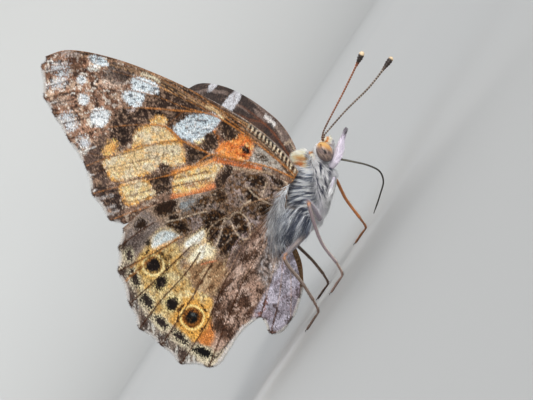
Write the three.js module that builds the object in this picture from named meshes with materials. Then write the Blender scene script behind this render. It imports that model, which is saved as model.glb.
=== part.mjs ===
// A painted lady butterfly, life size, standing on four legs with its wings part open.
// Millimetres. +X is forward, +Y is the butterfly's left, +Z is up.
// The body is drawn about the wing base, then the whole is moved so that the feet are
// at z = 0 and the middle of its box is over the origin.
import * as THREE from "three";

// Driving dimensions, in millimetres and degrees.
const STANCE = 9.2; // height of the wing base above the ground
const GAP = 0.3; // clearance between parts that touch

const THORAX_REAR = -6.0;
const THORAX_FRONT = 1.9;
const ABDOMEN_TIP = -15.3;
const ABDOMEN_SEGMENTS = 7;
const SEGMENT_SWELL = 0.05; // how far each abdomen ring bulges, as a share of its radius
const HEAD_FRONT = 4.65;
const HEAD_FLAT = 1.0; // the head's sides are flat here, behind the eyes

const EYE_CENTRE = { x: 3.37, z: -0.36 };
const EYE_LENGTH = 1.7;
const EYE_HEIGHT = 2.36;
const EYE_BULGE = 0.68;
const EYE_TILT = 26; // degrees that the top of the eye leans forward

const HINGE = { out: 2.6, up: 0.8 }; // where the wing membranes start, beside the thorax
const WING_THICKNESS = 0.5;
const VEIN_RISE = 0.12; // how far a vein stands out of each face
const VEIN_HALF_WIDTH = 0.32;
const BRANCH_CLEAR = 0.75; // a branch is drawn once it is this far from its stem
const OVERLAP_OFFSET = 1.05; // hindwing over forewing, middle to middle
const CAMBER = 0.6;
const LOBE_FLARE = 1.3; // how far the anal fold spreads outward round the abdomen
const NEAR_WING = { side: -1, lean: 12, bendFrom: -3, bendTo: 0.8 };
const FAR_WING = { side: 1, lean: 58, bendFrom: -1.5, bendTo: 3 };

const FEELER_RADIUS = 0.25;
const CLUB_RADIUS = 0.42;
const TARSUS_RADIUS = 0.26;
const FLAT_CUT = 0.06; // how much the underside of a foot is flattened

const radians = THREE.MathUtils.degToRad;
const clamp = THREE.MathUtils.clamp;
const lerp = THREE.MathUtils.lerp;
const smooth = THREE.MathUtils.smoothstep;

// Materials
const finish = (color, roughness, metalness = 0) =>
  new THREE.MeshStandardMaterial({ color, roughness, metalness });
const WING_SCALES = finish(0xb0855a, 0.8);
const BODY_HAIR = finish(0x7f8591, 0.95);
const ABDOMEN_HAIR = finish(0x8a7a68, 0.95);
const PALE_HAIR = finish(0xd9d3d8, 0.95);
const EYE = finish(0x8d6a4c, 0.3);
const LEG = finish(0x8a5a38, 0.6);
const DARK_CUTICLE = finish(0x2a211d, 0.45);

// Turns a triangle list over where it faces inward, and makes a mesh of it.
function closedMesh(name, material, corners, triangles) {
  const [a, b, c] = [new THREE.Vector3(), new THREE.Vector3(), new THREE.Vector3()];
  let volume = 0;
  for (const [i, j, k] of triangles) {
    a.copy(corners[i]);
    b.copy(corners[j]);
    c.copy(corners[k]);
    volume += a.dot(b.cross(c)) / 6;
  }
  const facing = volume < 0 ? triangles.map(([i, j, k]) => [i, k, j]) : triangles;
  const geometry = new THREE.BufferGeometry().setFromPoints(corners);
  geometry.setIndex(facing.flat());
  geometry.computeVertexNormals();
  const mesh = new THREE.Mesh(geometry, material);
  mesh.name = name;
  return mesh;
}

// Joins a run of rings with the same number of corners, and closes both ends.
function skinRings(name, material, rings) {
  const sides = rings[0].length;
  const corners = rings.flat();
  const triangles = [];
  for (let r = 0; r + 1 < rings.length; r++)
    for (let i = 0; i < sides; i++) {
      const j = (i + 1) % sides;
      const [p, q] = [r * sides, (r + 1) * sides];
      triangles.push([p + i, p + j, q + j], [p + i, q + j, q + i]);
    }
  for (const r of [0, rings.length - 1]) {
    const middle = rings[r]
      .reduce((sum, v) => sum.add(v), new THREE.Vector3())
      .divideScalar(sides);
    const hub = corners.push(middle) - 1;
    for (let i = 0; i < sides; i++) {
      const [p, q] = [r * sides + i, r * sides + ((i + 1) % sides)];
      triangles.push(r === 0 ? [hub, q, p] : [hub, p, q]);
    }
  }
  return closedMesh(name, material, corners, triangles);
}

// A body part along X: each station gives its top, bottom and half width.
function loft(name, material, stations, { sides = 18, middle = 0, flat = Infinity } = {}) {
  const rings = stations.map(({ x, top, bottom, half }) => {
    const centre = (top + bottom) / 2;
    const rise = (top - bottom) / 2;
    return Array.from({ length: sides }, (_, i) => {
      const turn = ((i + 0.5) / sides) * 2 * Math.PI;
      const y = clamp(half * Math.cos(turn), -flat, flat);
      return new THREE.Vector3(x, middle + y, centre + rise * Math.sin(turn));
    });
  });
  return skinRings(name, material, rings);
}

// A tube along a curve through the points. girths are [share of length, radius] pairs.
function tube(name, material, points, girths, { sides = 8, steps = 20 } = {}) {
  const route = new THREE.CatmullRomCurve3(
    points.map((p) => new THREE.Vector3(...p)),
    false,
    "centripetal",
  );
  const { normals, binormals } = route.computeFrenetFrames(steps, false);
  const rings = normals.map((normal, s) => {
    const share = s / steps;
    const next = Math.max(1, girths.findIndex(([at]) => at >= share));
    const [[from, thin], [to, thick]] = [girths[next - 1], girths[next]];
    const radius = lerp(thin, thick, (share - from) / (to - from));
    const centre = route.getPointAt(share);
    return Array.from({ length: sides }, (_, i) => {
      const turn = ((i + 0.5) / sides) * 2 * Math.PI;
      const corner = centre
        .clone()
        .addScaledVector(normal, radius * Math.cos(turn))
        .addScaledVector(binormals[s], radius * Math.sin(turn));
      corner.z = Math.max(corner.z, -STANCE);
      return corner;
    });
  });
  return skinRings(name, material, rings);
}

// The middle surface of a pair of wings: across it, (x, up) are measured in the membrane
// and rise is the distance outward from it, towards the underside.
function wingSurface({ side, lean, bendFrom, bendTo }) {
  const tilt = (up) => radians(lean) * smooth(up, bendFrom, bendTo);
  return (x, up, rise) => {
    const reach = up - HINGE.up;
    const steps = Math.max(4, Math.ceil(2 * Math.abs(reach)));
    let [out, high] = [HINGE.out, HINGE.up];
    for (let i = 0; i < steps; i++) {
      const angle = tilt(HINGE.up + (reach * (i + 0.5)) / steps);
      out += (Math.sin(angle) * reach) / steps;
      high += (Math.cos(angle) * reach) / steps;
    }
    const bow = CAMBER * Math.sin(Math.PI * clamp((x + 24) / 26, 0, 1));
    const flare = LOBE_FLARE * smooth(-up, 1.5, 7);
    const lift = rise - bow * smooth(up, 0.5, 6) + flare;
    const angle = tilt(up);
    return new THREE.Vector3(
      x,
      side * (out + Math.cos(angle) * lift),
      high - Math.sin(angle) * lift,
    );
  };
}

// Forewing veins, each from the base to the outer margin as [x, up]. The first and the
// last are the wing's front and inner edges. Those that end on the front edge run on along it.
const FRONT_EDGE = [
  [1.46, 18.5],
  [0.59, 23.4],
  [-0.7, 27.5],
  [-1.82, 29.5],
  [-3.3, 30.7],
];
const RADIAL_STEM = [
  [-0.3, 0.9],
  [0.2, 4.0],
  [0.65, 8.0],
];
const CUBITAL_STEM = [
  [-0.6, 0.9],
  [-1.1, 4.1],
  [-2.3, 7.6],
  [-3.1, 9.9],
];
const FOREWING = {
  bay: 0.25,
  veins: [
    [[0.25, 0.9], [0.85, 2.24], [1.51, 4.33], [2.07, 8.8], [1.92, 13.8], ...FRONT_EDGE],
    [[0.05, 0.9], [0.9, 4.5], [1.45, 8.8], [1.6, 12.6], [1.7, 15.6], ...FRONT_EDGE],
    [[-0.15, 0.9], [0.5, 4.5], [1.0, 8.8], [1.2, 12.6], [1.2, 16.5], ...FRONT_EDGE.slice(1)],
    [...RADIAL_STEM, [0.75, 12.4], [0.15, 18.9], [-0.95, 24.0], [-3.0, 28.4], [-4.4, 30.6]],
    [...RADIAL_STEM, [0.6, 12.4], [-0.19, 15.0], [-0.94, 18.9], [-2.28, 22.3], [-5.66, 27.0],
      [-7.3, 28.5]],
    [...RADIAL_STEM, [0.6, 12.4], [-1.0, 15.8], [-3.2, 19.9], [-6.1, 23.8], [-8.25, 26.8]],
    [...CUBITAL_STEM, [-3.5, 13.5], [-3.15, 15.8], [-5.5, 19.8], [-8.6, 23.1], [-9.75, 24.0]],
    [...CUBITAL_STEM, [-3.5, 13.4], [-6.6, 17.1], [-9.6, 19.5], [-11.4, 20.8]],
    [...CUBITAL_STEM, [-5.7, 11.1], [-7.4, 12.5], [-9.7, 14.8], [-11.9, 17.0], [-13.6, 18.6]],
    [[-1.0, 0.9], [-4.0, 4.5], [-8.0, 8.7], [-12.0, 12.9], [-15.1, 15.4]],
    [[-1.3, 0.8], [-4.5, 3.9], [-8.5, 8.0], [-12.2, 11.8], [-14.7, 13.8]],
  ],
  margins: {},
};

// Hindwing veins. The last three shape the fold that wraps the abdomen.
const HIND_STEM = [
  [-2.8, 1.0],
  [-5.2, 3.4],
];
const HINDWING = {
  bay: 0.3,
  veins: [
    [[-1.3, 1.3], [-1.7, 3.6], [-3.0, 6.0], [-4.2, 7.1], [-5.5, 7.1], [-9.0, 10.4],
      [-11.8, 12.7], [-15.0, 13.8]],
    [[-2.0, 1.15], [-3.9, 4.2], [-6.5, 6.6], [-10.5, 9.8], [-14.0, 11.9], [-17.2, 13.0]],
    [...HIND_STEM, [-8.9, 5.4], [-13.4, 8.1], [-15.9, 9.4], [-19.5, 11.6]],
    [...HIND_STEM, [-8.9, 5.3], [-13.6, 6.4], [-17.6, 7.4], [-22.0, 8.6]],
    [...HIND_STEM, [-8.0, 4.4], [-10.7, 5.0], [-15.5, 5.1], [-20.3, 5.9], [-23.8, 6.2]],
    [[-3.8, 0.5], [-7.5, 2.7], [-12.0, 3.3], [-18.2, 3.1], [-24.2, 3.1]],
    [[-4.7, 0.1], [-8.5, 1.5], [-14.0, 1.1], [-19.3, 0.2], [-24.9, 0.1]],
    [[-5.6, -0.3], [-9.2, -0.6], [-12.2, -0.5], [-17.3, -1.4], [-23.5, -2.7]],
    [[-6.3, -0.9], [-9.0, -2.2], [-12.2, -3.3], [-15.5, -4.4]],
    [[-6.45, -1.2], [-8.8, -2.9], [-12.5, -4.9], [-16.3, -6.3]],
    [[-6.55, -1.5], [-8.5, -3.6], [-11.0, -5.5], [-13.9, -7.3]],
    [[-6.6, -1.8], [-7.6, -3.4], [-9.0, -5.2], [-10.8, -6.6]],
  ],
  // Edge points between the tips of one vein and the next.
  margins: {
    7: [[-22.3, -3.35], [-20.6, -3.4], [-18.8, -3.35], [-17.0, -3.65]],
    8: [[-15.6, -5.2]],
    9: [[-15.4, -7.05]],
    10: [[-12.4, -7.1]],
  },
};

// How far a wing lies outside the forewing's surface. A hindwing lies over the forewing
// and comes in to the body below the forewing's inner edge.
const HINDWING_LIFT = (x, up) => {
  const across = [0.683, 0.731];
  const depth = (x + 1.3) * across[0] + (up - 0.8) * across[1];
  return OVERLAP_OFFSET * smooth(depth, -3, -0.6);
};

const ROWS = [0, 0.05, 0.11, 0.18, 0.26, 0.34, 0.43, 0.52, 0.61, 0.7, 0.79, 0.88, 0.95, 1];

// One row across the wing: the veins that are apart there, each a crest between two feet.
function wingRow(curves, share) {
  const last = curves.length - 1;
  const kept = [];
  curves.forEach(({ curve, trace }, column) => {
    const at = curve.getPointAt(share);
    const clear = (other) => other.trace.every((p) => p.distanceTo(at) > BRANCH_CLEAR);
    const before = kept.at(-1);
    const edge = column === 0 || column === last;
    if (edge || (clear(curves[before.column]) && clear(curves[last])))
      kept.push({ column, at });
  });
  const row = [];
  kept.forEach(({ column, at }, k) => {
    const foot = (neighbour, step) => {
      const span = at.distanceTo(neighbour.at);
      const reach = Math.min(VEIN_HALF_WIDTH / span, 0.42);
      row.push({ key: column + step, at: at.clone().lerp(neighbour.at, reach), rise: 0 });
    };
    if (k > 0) foot(kept[k - 1], -0.3);
    row.push({ key: column, at, rise: VEIN_RISE });
    if (k + 1 < kept.length) foot(kept[k + 1], 0.3);
  });
  return row;
}

// The last row, along the outer margin, bays inward between the vein tips.
function addMargin(row, { bay, margins }, root) {
  const crests = row.filter(({ rise }) => rise > 0);
  crests.slice(0, -1).forEach((tip, k) => {
    const next = crests[k + 1];
    const drawn = margins[tip.key];
    const points = drawn
      ? drawn.map(([x, up]) => new THREE.Vector3(x, up, 0))
      : [0.3, 0.5, 0.7].map((t) => {
          const point = tip.at.clone().lerp(next.at, t);
          const inward = root.clone().sub(point).normalize();
          return point.addScaledVector(inward, bay * Math.sin(Math.PI * t));
        });
    const after = row.findIndex(({ key }) => key >= next.key - 0.3);
    const extra = points.map((at, i) => ({
      key: tip.key + 0.3 + (0.4 * (i + 1)) / (points.length + 1),
      at,
      rise: 0,
    }));
    row.splice(after, 0, ...extra);
  });
}

// Fills the strip between two rows, stepping along whichever is behind.
function stitch(lower, upper, triangles) {
  let [i, j] = [0, 0];
  while (i + 1 < lower.length || j + 1 < upper.length) {
    const stepLower =
      j + 1 === upper.length || (i + 1 < lower.length && lower[i + 1].key <= upper[j + 1].key);
    if (stepLower) {
      triangles.push([lower[i].id, lower[i + 1].id, upper[j].id]);
      i++;
    } else {
      triangles.push([lower[i].id, upper[j + 1].id, upper[j].id]);
      j++;
    }
  }
}

// A wing: one net of rows, laid on both faces alike, with a rim between them.
function wing(name, plan, pose, lift) {
  const curves = plan.veins.map((points) => {
    const curve = new THREE.CatmullRomCurve3(
      points.map(([x, up]) => new THREE.Vector3(x, up, 0)),
      false,
      "centripetal",
    );
    return { curve, trace: curve.getSpacedPoints(80) };
  });
  const rows = ROWS.map((share) => wingRow(curves, share));
  addMargin(rows.at(-1), plan, rows[0][0].at);
  rows.flat().forEach((point, id) => (point.id = id));

  const net = [];
  rows.slice(1).forEach((row, r) => stitch(rows[r], row, net));

  const place = wingSurface(pose);
  const corners = rows.flat().flatMap(({ at, rise }) => {
    const base = lift(at.x, at.y);
    const half = WING_THICKNESS / 2 + rise;
    return [place(at.x, at.y, base + half), place(at.x, at.y, base - half)];
  });
  const under = (id) => 2 * id;
  const upper = (id) => 2 * id + 1;
  const triangles = net.flatMap(([a, b, c]) => [
    [under(a), under(b), under(c)],
    [upper(a), upper(c), upper(b)],
  ]);
  const rim = [
    ...rows[0],
    ...rows.slice(1).map((row) => row.at(-1)),
    ...rows.at(-1).slice(0, -1).reverse(),
    ...rows.slice(1, -1).map((row) => row[0]).reverse(),
  ];
  rim.forEach(({ id: a }, i) => {
    const b = rim[(i + 1) % rim.length].id;
    triangles.push([under(b), under(a), upper(a)], [under(b), upper(a), upper(b)]);
  });
  return closedMesh(name, WING_SCALES, corners, triangles);
}

// Body
const thorax = loft(
  "thorax",
  BODY_HAIR,
  [
    { x: THORAX_REAR, top: 0.2, bottom: -2.8, half: 1.5 },
    { x: -5.3, top: 0.9, bottom: -3.6, half: 1.95 },
    { x: -4.2, top: 1.6, bottom: -4.15, half: 2.25 },
    { x: -2.8, top: 2.05, bottom: -4.35, half: 2.35 },
    { x: -1.2, top: 2.1, bottom: -3.95, half: 2.3 },
    { x: 0.2, top: 1.95, bottom: -3.4, half: 2.05 },
    { x: 1.2, top: 2.05, bottom: -2.95, half: 1.7 },
    { x: THORAX_FRONT, top: 1.3, bottom: -2.4, half: 1.2 },
  ],
  { sides: 22 },
);

function abdomen() {
  const front = THORAX_REAR - GAP;
  const stations = [];
  const rings = ABDOMEN_SEGMENTS * 2;
  for (let i = 0; i <= rings; i++) {
    const t = i / rings;
    const girth = Math.sqrt(Math.max(0.03, 1 - Math.pow(Math.abs(t - 0.3) / 0.72, 2.2)));
    const swell = 1 + SEGMENT_SWELL * (i % 2 === 1 ? 1 : -1);
    const middle = -1.3 - 1.25 * t;
    stations.push({
      x: lerp(front, ABDOMEN_TIP, t),
      top: middle + 1.55 * girth * swell,
      bottom: middle - 1.7 * girth * swell,
      half: 1.48 * girth * swell,
    });
  }
  return loft("abdomen", ABDOMEN_HAIR, stations.reverse());
}

const head = loft(
  "head",
  BODY_HAIR,
  [
    { x: THORAX_FRONT + GAP, top: 0.75, bottom: -0.7, half: 0.85 },
    { x: 2.7, top: 1.05, bottom: -0.95, half: 1.2 },
    { x: 3.3, top: 1.1, bottom: -0.95, half: 1.3 },
    { x: 3.9, top: 0.92, bottom: -0.9, half: 1.15 },
    { x: 4.35, top: 0.58, bottom: -0.75, half: 0.85 },
    { x: HEAD_FRONT, top: 0.15, bottom: -0.4, half: 0.45 },
  ],
  { flat: HEAD_FLAT },
);

// An eye is a dome on a flat base, beside the flat side of the head.
function eye(name, side) {
  const profile = [new THREE.Vector2(0, 0)];
  for (let i = 0; i <= 6; i++) {
    const rise = (i / 6) * (Math.PI / 2);
    profile.push(new THREE.Vector2(Math.cos(rise), Math.sin(rise)));
  }
  profile.at(-1).x = 0;
  const dome = new THREE.LatheGeometry(profile, 18);
  dome.scale(EYE_LENGTH / 2, EYE_BULGE, EYE_HEIGHT / 2);
  dome.rotateY(side * radians(EYE_TILT));
  const mesh = new THREE.Mesh(dome, EYE);
  mesh.name = name;
  mesh.position.set(EYE_CENTRE.x, side * (HEAD_FLAT + GAP), EYE_CENTRE.z);
  mesh.rotation.z = side > 0 ? 0 : Math.PI;
  return mesh;
}

function palp(name, side) {
  return loft(
    name,
    PALE_HAIR,
    [
      { x: 2.25, top: -1.45, bottom: -2.3, half: 0.3 },
      { x: 2.8, top: -1.3, bottom: -2.42, half: 0.42 },
      { x: 3.5, top: -1.25, bottom: -2.4, half: 0.43 },
      { x: 4.3, top: -1.03, bottom: -2.14, half: 0.4 },
      { x: 5.2, top: -0.9, bottom: -1.58, half: 0.3 },
      { x: 6.0, top: -0.87, bottom: -1.2, half: 0.2 },
      { x: 6.66, top: -0.88, bottom: -1.05, half: 0.1 },
    ],
    { sides: 12, middle: side * 0.6 },
  );
}

const CLUBBED = [
  [0, FEELER_RADIUS],
  [0.84, FEELER_RADIUS],
  [0.92, CLUB_RADIUS],
  [0.97, CLUB_RADIUS],
  [1, 0.2],
];
const FEELER_ROUTES = {
  antenna_right: [[4.6, -0.85, 0.72], [5.2, -1.25, 0.95], [10.3, -3.0, 1.54], [15.1, -4.7, 2.18]],
  antenna_left: [[4.6, 0.85, 0.62], [5.2, 1.2, 0.55], [8.25, 2.1, 0.07], [11.7, 3.4, -0.71],
    [15.6, 4.9, -1.04]],
};
const antennae = Object.entries(FEELER_ROUTES).map(([name, route]) =>
  tube(name, DARK_CUTICLE, route, CLUBBED, { steps: 22 }),
);

const proboscis = tube(
  "proboscis",
  DARK_CUTICLE,
  [[3.7, 0, -2.75], [4.02, 0, -3.5], [4.63, 0, -5.2], [4.75, 0, -6.6], [4.1, 0, -7.5],
    [2.6, 0, -8.05], [0.5, 0, -8.6]],
  [[0, 0.25], [0.9, 0.25], [1, 0.18]],
);

// Walking legs: hip to knee, knee to instep, and the foot, which lies on the ground.
const FOOT_LEVEL = -STANCE + TARSUS_RADIUS - FLAT_CUT;
const WALKING = [
  [0, 0.36],
  [0.3, 0.4],
  [0.38, 0.34],
  [0.62, 0.32],
  [0.74, TARSUS_RADIUS],
  [1, TARSUS_RADIUS],
];
const LEG_ROUTES = {
  midleg_right: {
    upper: [[-3.0, -1.95, -4.0], [-2.0, -3.6, -2.3], [-1.75, -4.1, -1.75]],
    lower: [[-2.4, -4.5, -2.5], [-4.5, -5.2, -5.3], [-5.4, -5.8, -7.9]],
    foot: [[-6.1, -6.1], [-7.0, -6.3], [-8.3, -6.6]],
  },
  midleg_left: {
    upper: [[-3.0, 2.0, -3.95], [0.1, 3.3, -2.95], [1.0, 3.7, -2.65]],
    lower: [[0.8, 4.0, -3.3], [-0.5, 4.8, -5.4], [-1.5, 5.3, -7.9]],
    foot: [[-2.1, 5.6], [-3.0, 5.8], [-4.3, 6.1]],
  },
  hindleg_right: {
    upper: [[-5.0, -1.85, -3.75], [-7.4, -4.3, -2.95], [-8.1, -4.9, -2.75]],
    lower: [[-8.5, -5.2, -3.4], [-9.3, -6.0, -6.1], [-10.1, -6.5, -8.0]],
    foot: [[-10.8, -6.8], [-11.7, -7.0], [-13.0, -7.3]],
  },
  hindleg_left: {
    upper: [[-5.0, 1.85, -3.75], [-7.0, 4.3, -2.95], [-7.6, 4.9, -2.75]],
    lower: [[-7.9, 5.2, -3.4], [-8.6, 6.0, -6.1], [-9.3, 6.5, -8.0]],
    foot: [[-10.0, 6.8], [-10.9, 7.0], [-12.2, 7.3]],
  },
};
const legs = Object.entries(LEG_ROUTES).map(([name, { upper, lower, foot }]) => {
  const sole = foot.map(([x, y]) => [x, y, FOOT_LEVEL]);
  return tube(name, LEG, [...upper, ...lower, ...sole], WALKING, { steps: 28 });
});

// The first pair are short brushes folded back along the chest.
const forelegs = [
  ["foreleg_right", -1],
  ["foreleg_left", 1],
].map(([name, side]) =>
  tube(
    name,
    PALE_HAIR,
    [[1.7, side * 1.62, -2.75], [0.3, side * 1.95, -3.2], [-1.0, side * 1.92, -3.72]],
    [[0, 0.25], [0.4, 0.42], [0.8, 0.36], [1, 0.15]],
    { sides: 10, steps: 10 },
  ),
);

// The whole animal, set down on its feet
const body = new THREE.Group();
body.add(thorax, abdomen(), head, eye("eye_right", -1), eye("eye_left", 1));
body.add(palp("palp_right", -1), palp("palp_left", 1), proboscis, ...antennae);

const wings = new THREE.Group();
wings.add(wing("forewing_right", FOREWING, NEAR_WING, () => 0));
wings.add(wing("hindwing_right", HINDWING, NEAR_WING, HINDWING_LIFT));
wings.add(wing("forewing_left", FOREWING, FAR_WING, () => 0));
wings.add(wing("hindwing_left", HINDWING, FAR_WING, HINDWING_LIFT));

const stance = new THREE.Group();
stance.add(...legs, ...forelegs);

const butterfly = new THREE.Group();
butterfly.add(body, wings, stance);
butterfly.updateMatrixWorld(true);
const box = new THREE.Box3().setFromObject(butterfly);
const centre = box.getCenter(new THREE.Vector3());
butterfly.position.set(-centre.x, -centre.y, STANCE);

export default butterfly;
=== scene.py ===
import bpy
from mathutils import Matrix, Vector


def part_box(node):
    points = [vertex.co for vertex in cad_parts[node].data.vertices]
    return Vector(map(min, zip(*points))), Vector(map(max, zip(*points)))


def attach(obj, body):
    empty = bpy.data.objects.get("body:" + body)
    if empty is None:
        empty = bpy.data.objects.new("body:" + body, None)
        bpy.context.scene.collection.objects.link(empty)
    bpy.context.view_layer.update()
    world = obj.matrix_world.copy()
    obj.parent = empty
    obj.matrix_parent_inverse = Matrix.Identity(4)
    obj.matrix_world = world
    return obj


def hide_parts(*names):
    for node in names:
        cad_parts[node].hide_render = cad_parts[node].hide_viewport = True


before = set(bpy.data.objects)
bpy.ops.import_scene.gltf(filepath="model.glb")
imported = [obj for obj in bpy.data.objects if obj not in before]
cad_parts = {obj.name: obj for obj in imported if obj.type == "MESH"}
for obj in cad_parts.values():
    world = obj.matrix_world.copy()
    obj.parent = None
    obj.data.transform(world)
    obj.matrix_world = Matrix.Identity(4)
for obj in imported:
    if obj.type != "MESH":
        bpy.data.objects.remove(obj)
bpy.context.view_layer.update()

import math

import bpy
import numpy as np
from mathutils import Matrix, Vector

# A painted lady butterfly. Lengths here are millimetres in the animal's own axes:
# x forward, y to its left, z up from the wing base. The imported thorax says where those
# axes lie in the shared frame.
STANCE = 9.2  # height of the wing base above the ground
CHEST_FRONT = 1.9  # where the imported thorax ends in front
thorax_low, thorax_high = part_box("thorax")
HOME = np.array([thorax_high.x * 1000 - CHEST_FRONT, (thorax_low.y + thorax_high.y) * 500, STANCE])
LOWEST = -STANCE + 0.001  # no point of a piece lies lower

HINGE_BACK, HINGE_OUT, HINGE_UP = -1.3, 2.6, 0.8  # the wing's hinge
MEMBRANE = 0.12  # thickness of a wing
FORE_RISE = 0.12  # how far the forewing lies outside its hinge line
HIND_RISE = 0.62  # and the hindwing, so that it overlaps the forewing
CAMBER = 0.6
LOBE_FLARE = 1.3  # how far the anal lobe spreads round the abdomen
GRID = 0.1  # about one scale
# The right wings lean outward by few degrees and the left ones by many. bend is the height over
# which each pair comes to its full lean.
NEAR_WING = {"side": -1, "lean": 12, "bend": (-3, 0.8)}
FAR_WING = {"side": 1, "lean": 58, "bend": (-1.5, 3)}


# Small tools.
def home(points):
    """Animal millimetres to metres in the shared frame."""
    return (np.asarray(points, float) + HOME) / 1000


def colour(r, g, b):
    """Linear colour of an sRGB tone of 0 to 255."""
    c = np.array([r, g, b]) / 255
    return np.where(c <= 0.04045, c / 12.92, ((c + 0.055) / 1.055) ** 2.4)


def blend(rgb, share, tone):
    """rgb mixed with tone, by one share for each point."""
    k = share[:, None]
    return rgb * (1 - k) + tone * k


def layered(rgb, *coats):
    """rgb under coats that are laid on in order, each a mask and a tone."""
    for mask, tone in coats:
        rgb = blend(rgb, np.clip(mask, 0, 1), colour(*tone))
    return rgb


def wheel(count):
    """Angles of a full turn, evenly spaced."""
    return np.linspace(0, 2 * np.pi, count, endpoint=False)


def ramp(value, start, end):
    """0 at start, 1 at end, with soft ends."""
    t = np.clip((value - start) / (end - start), 0, 1)
    return t * t * (3 - 2 * t)


def noise(u, v, seed, octaves=3):
    """Soft random field between 0 and 1."""
    u, v = np.asarray(u, float), np.asarray(v, float)
    total, size, whole = 0, 1.0, 0
    for k in range(octaves):
        table = np.random.default_rng(seed * 31 + k).random((64, 64))
        iu, iv = np.floor(u).astype(int), np.floor(v).astype(int)
        fu, fv = u - iu, v - iv
        fu, fv = fu * fu * (3 - 2 * fu), fv * fv * (3 - 2 * fv)
        a, b = table[iu % 64, iv % 64], table[(iu + 1) % 64, iv % 64]
        c, d = table[iu % 64, (iv + 1) % 64], table[(iu + 1) % 64, (iv + 1) % 64]
        total = total + size * ((a * (1 - fu) + b * fu) * (1 - fv) + (c * (1 - fu) + d * fu) * fv)
        whole += size
        size *= 0.5
        u, v = u * 2.03 + 17.1, v * 2.03 + 5.3
    return total / whole


def curve(points, count=60):
    """Centripetal curve through the points, evenly spaced along its length."""
    p = np.array(points, float)
    p = np.vstack([2 * p[0] - p[1], p, 2 * p[-1] - p[-2]])
    out = []
    for i in range(1, len(p) - 2):
        a, b, c, d = p[i - 1 : i + 3]
        k = [np.linalg.norm(y - x) ** 0.5 for x, y in ((a, b), (b, c), (c, d))]
        m1 = ((b - a) / k[0] - (c - a) / (k[0] + k[1]) + (c - b) / k[1]) * k[1]
        m2 = ((c - b) / k[1] - (d - b) / (k[1] + k[2]) + (d - c) / k[2]) * k[1]
        t = np.linspace(0, 1, 24, endpoint=False)[:, None]
        out.append((2 * t**3 - 3 * t**2 + 1) * b + (t**3 - 2 * t**2 + t) * m1
                   + (3 * t**2 - 2 * t**3) * c + (t**3 - t**2) * m2)
    line = np.vstack(out + [p[-2:-1]])
    run = np.r_[0, np.cumsum(np.linalg.norm(np.diff(line, axis=0), axis=1))]
    at = np.linspace(0, run[-1], count)
    return np.stack([np.interp(at, run, line[:, k]) for k in range(line.shape[1])], axis=1)


def rounded(points, times=2):
    """A closed outline with its corners cut off."""
    p = np.array(points, float)
    for _ in range(times):
        q = np.roll(p, -1, axis=0)
        p = np.stack([0.75 * p + 0.25 * q, 0.25 * p + 0.75 * q], axis=1).reshape(-1, 2)
    return p


def line_distance(x, y, line, closed=False):
    """Distance from each point to a line of points, and the nearest place on it."""
    a = np.asarray(line, float)
    b = np.roll(a, -1, axis=0)
    if not closed:
        a, b = a[:-1], b[:-1]
    best = np.full(x.shape, 1e9)
    near = np.zeros(x.shape + (2,))
    for (ax, ay), (bx, by) in zip(a, b):
        dx, dy = bx - ax, by - ay
        t = np.clip(((x - ax) * dx + (y - ay) * dy) / max(dx * dx + dy * dy, 1e-12), 0, 1)
        cx, cy = ax + t * dx, ay + t * dy
        d = (x - cx) ** 2 + (y - cy) ** 2
        closer = d < best
        best = np.where(closer, d, best)
        near[closer, 0], near[closer, 1] = cx[closer], cy[closer]
    return np.sqrt(best), near


def signed_distance(x, y, outline):
    """Distance to a closed outline, negative inside, and the nearest place on it."""
    d, near = line_distance(x, y, outline, closed=True)
    inside = np.zeros(x.shape, bool)
    for (ax, ay), (bx, by) in zip(outline, np.roll(outline, -1, axis=0)):
        if ay == by:
            continue
        crosses = ((ay > y) != (by > y)) & (x < (bx - ax) * (y - ay) / (by - ay) + ax)
        inside ^= crosses
    return np.where(inside, -d, d), near


def make_mesh(name, points, faces, material, colours=None, uv=None, smooth=True):
    """A piece from arrays. faces is a list of index arrays; uv is one pair for each corner."""
    points = np.array(points, float)
    points[:, 2] = np.maximum(points[:, 2], LOWEST)
    mesh = bpy.data.meshes.new(name)
    flat = np.concatenate([f.reshape(-1) for f in faces]).astype(np.int32)
    sizes = np.concatenate([np.full(len(f), f.shape[1]) for f in faces]).astype(np.int32)
    starts = np.r_[0, np.cumsum(sizes)[:-1]].astype(np.int32)
    mesh.vertices.add(len(points))
    mesh.vertices.foreach_set("co", home(points).astype(np.float32).ravel())
    mesh.loops.add(len(flat))
    mesh.loops.foreach_set("vertex_index", flat)
    mesh.polygons.add(len(sizes))
    mesh.polygons.foreach_set("loop_start", starts)
    mesh.polygons.foreach_set("loop_total", sizes)
    mesh.polygons.foreach_set("use_smooth", np.full(len(sizes), smooth))
    mesh.update(calc_edges=True)
    mesh.validate()
    if colours is not None:
        layer = mesh.color_attributes.new(name="tint", type="FLOAT_COLOR", domain="POINT")
        rgba = np.c_[np.clip(colours, 0, 1), np.ones(len(points))]
        layer.data.foreach_set("color", rgba.astype(np.float32).ravel())
    if uv is not None:
        layer = mesh.uv_layers.new(name="OFBake")
        layer.data.foreach_set("uv", np.asarray(uv, np.float32).ravel())
    mesh.materials.append(material)
    piece = bpy.data.objects.new(name, mesh)
    bpy.context.scene.collection.objects.link(piece)
    return piece


# Materials.
def shader(name, rough, specular=0.3, sheen=0.0, coat=0.0):
    """A material with its nodes, links, surface and place in object space."""
    m = bpy.data.materials.new(name)
    m.use_nodes = True
    nodes, links = m.node_tree.nodes, m.node_tree.links
    surface = nodes["Principled BSDF"]
    for key, value in (("Roughness", rough), ("Specular IOR Level", specular), ("Sheen Weight", sheen),
                       ("Sheen Roughness", 0.4), ("Coat Weight", coat), ("Coat Roughness", 0.08)):
        surface.inputs[key].default_value = value
    place = nodes.new("ShaderNodeTexCoord").outputs["Object"]
    return m, nodes, links, surface, place


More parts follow.
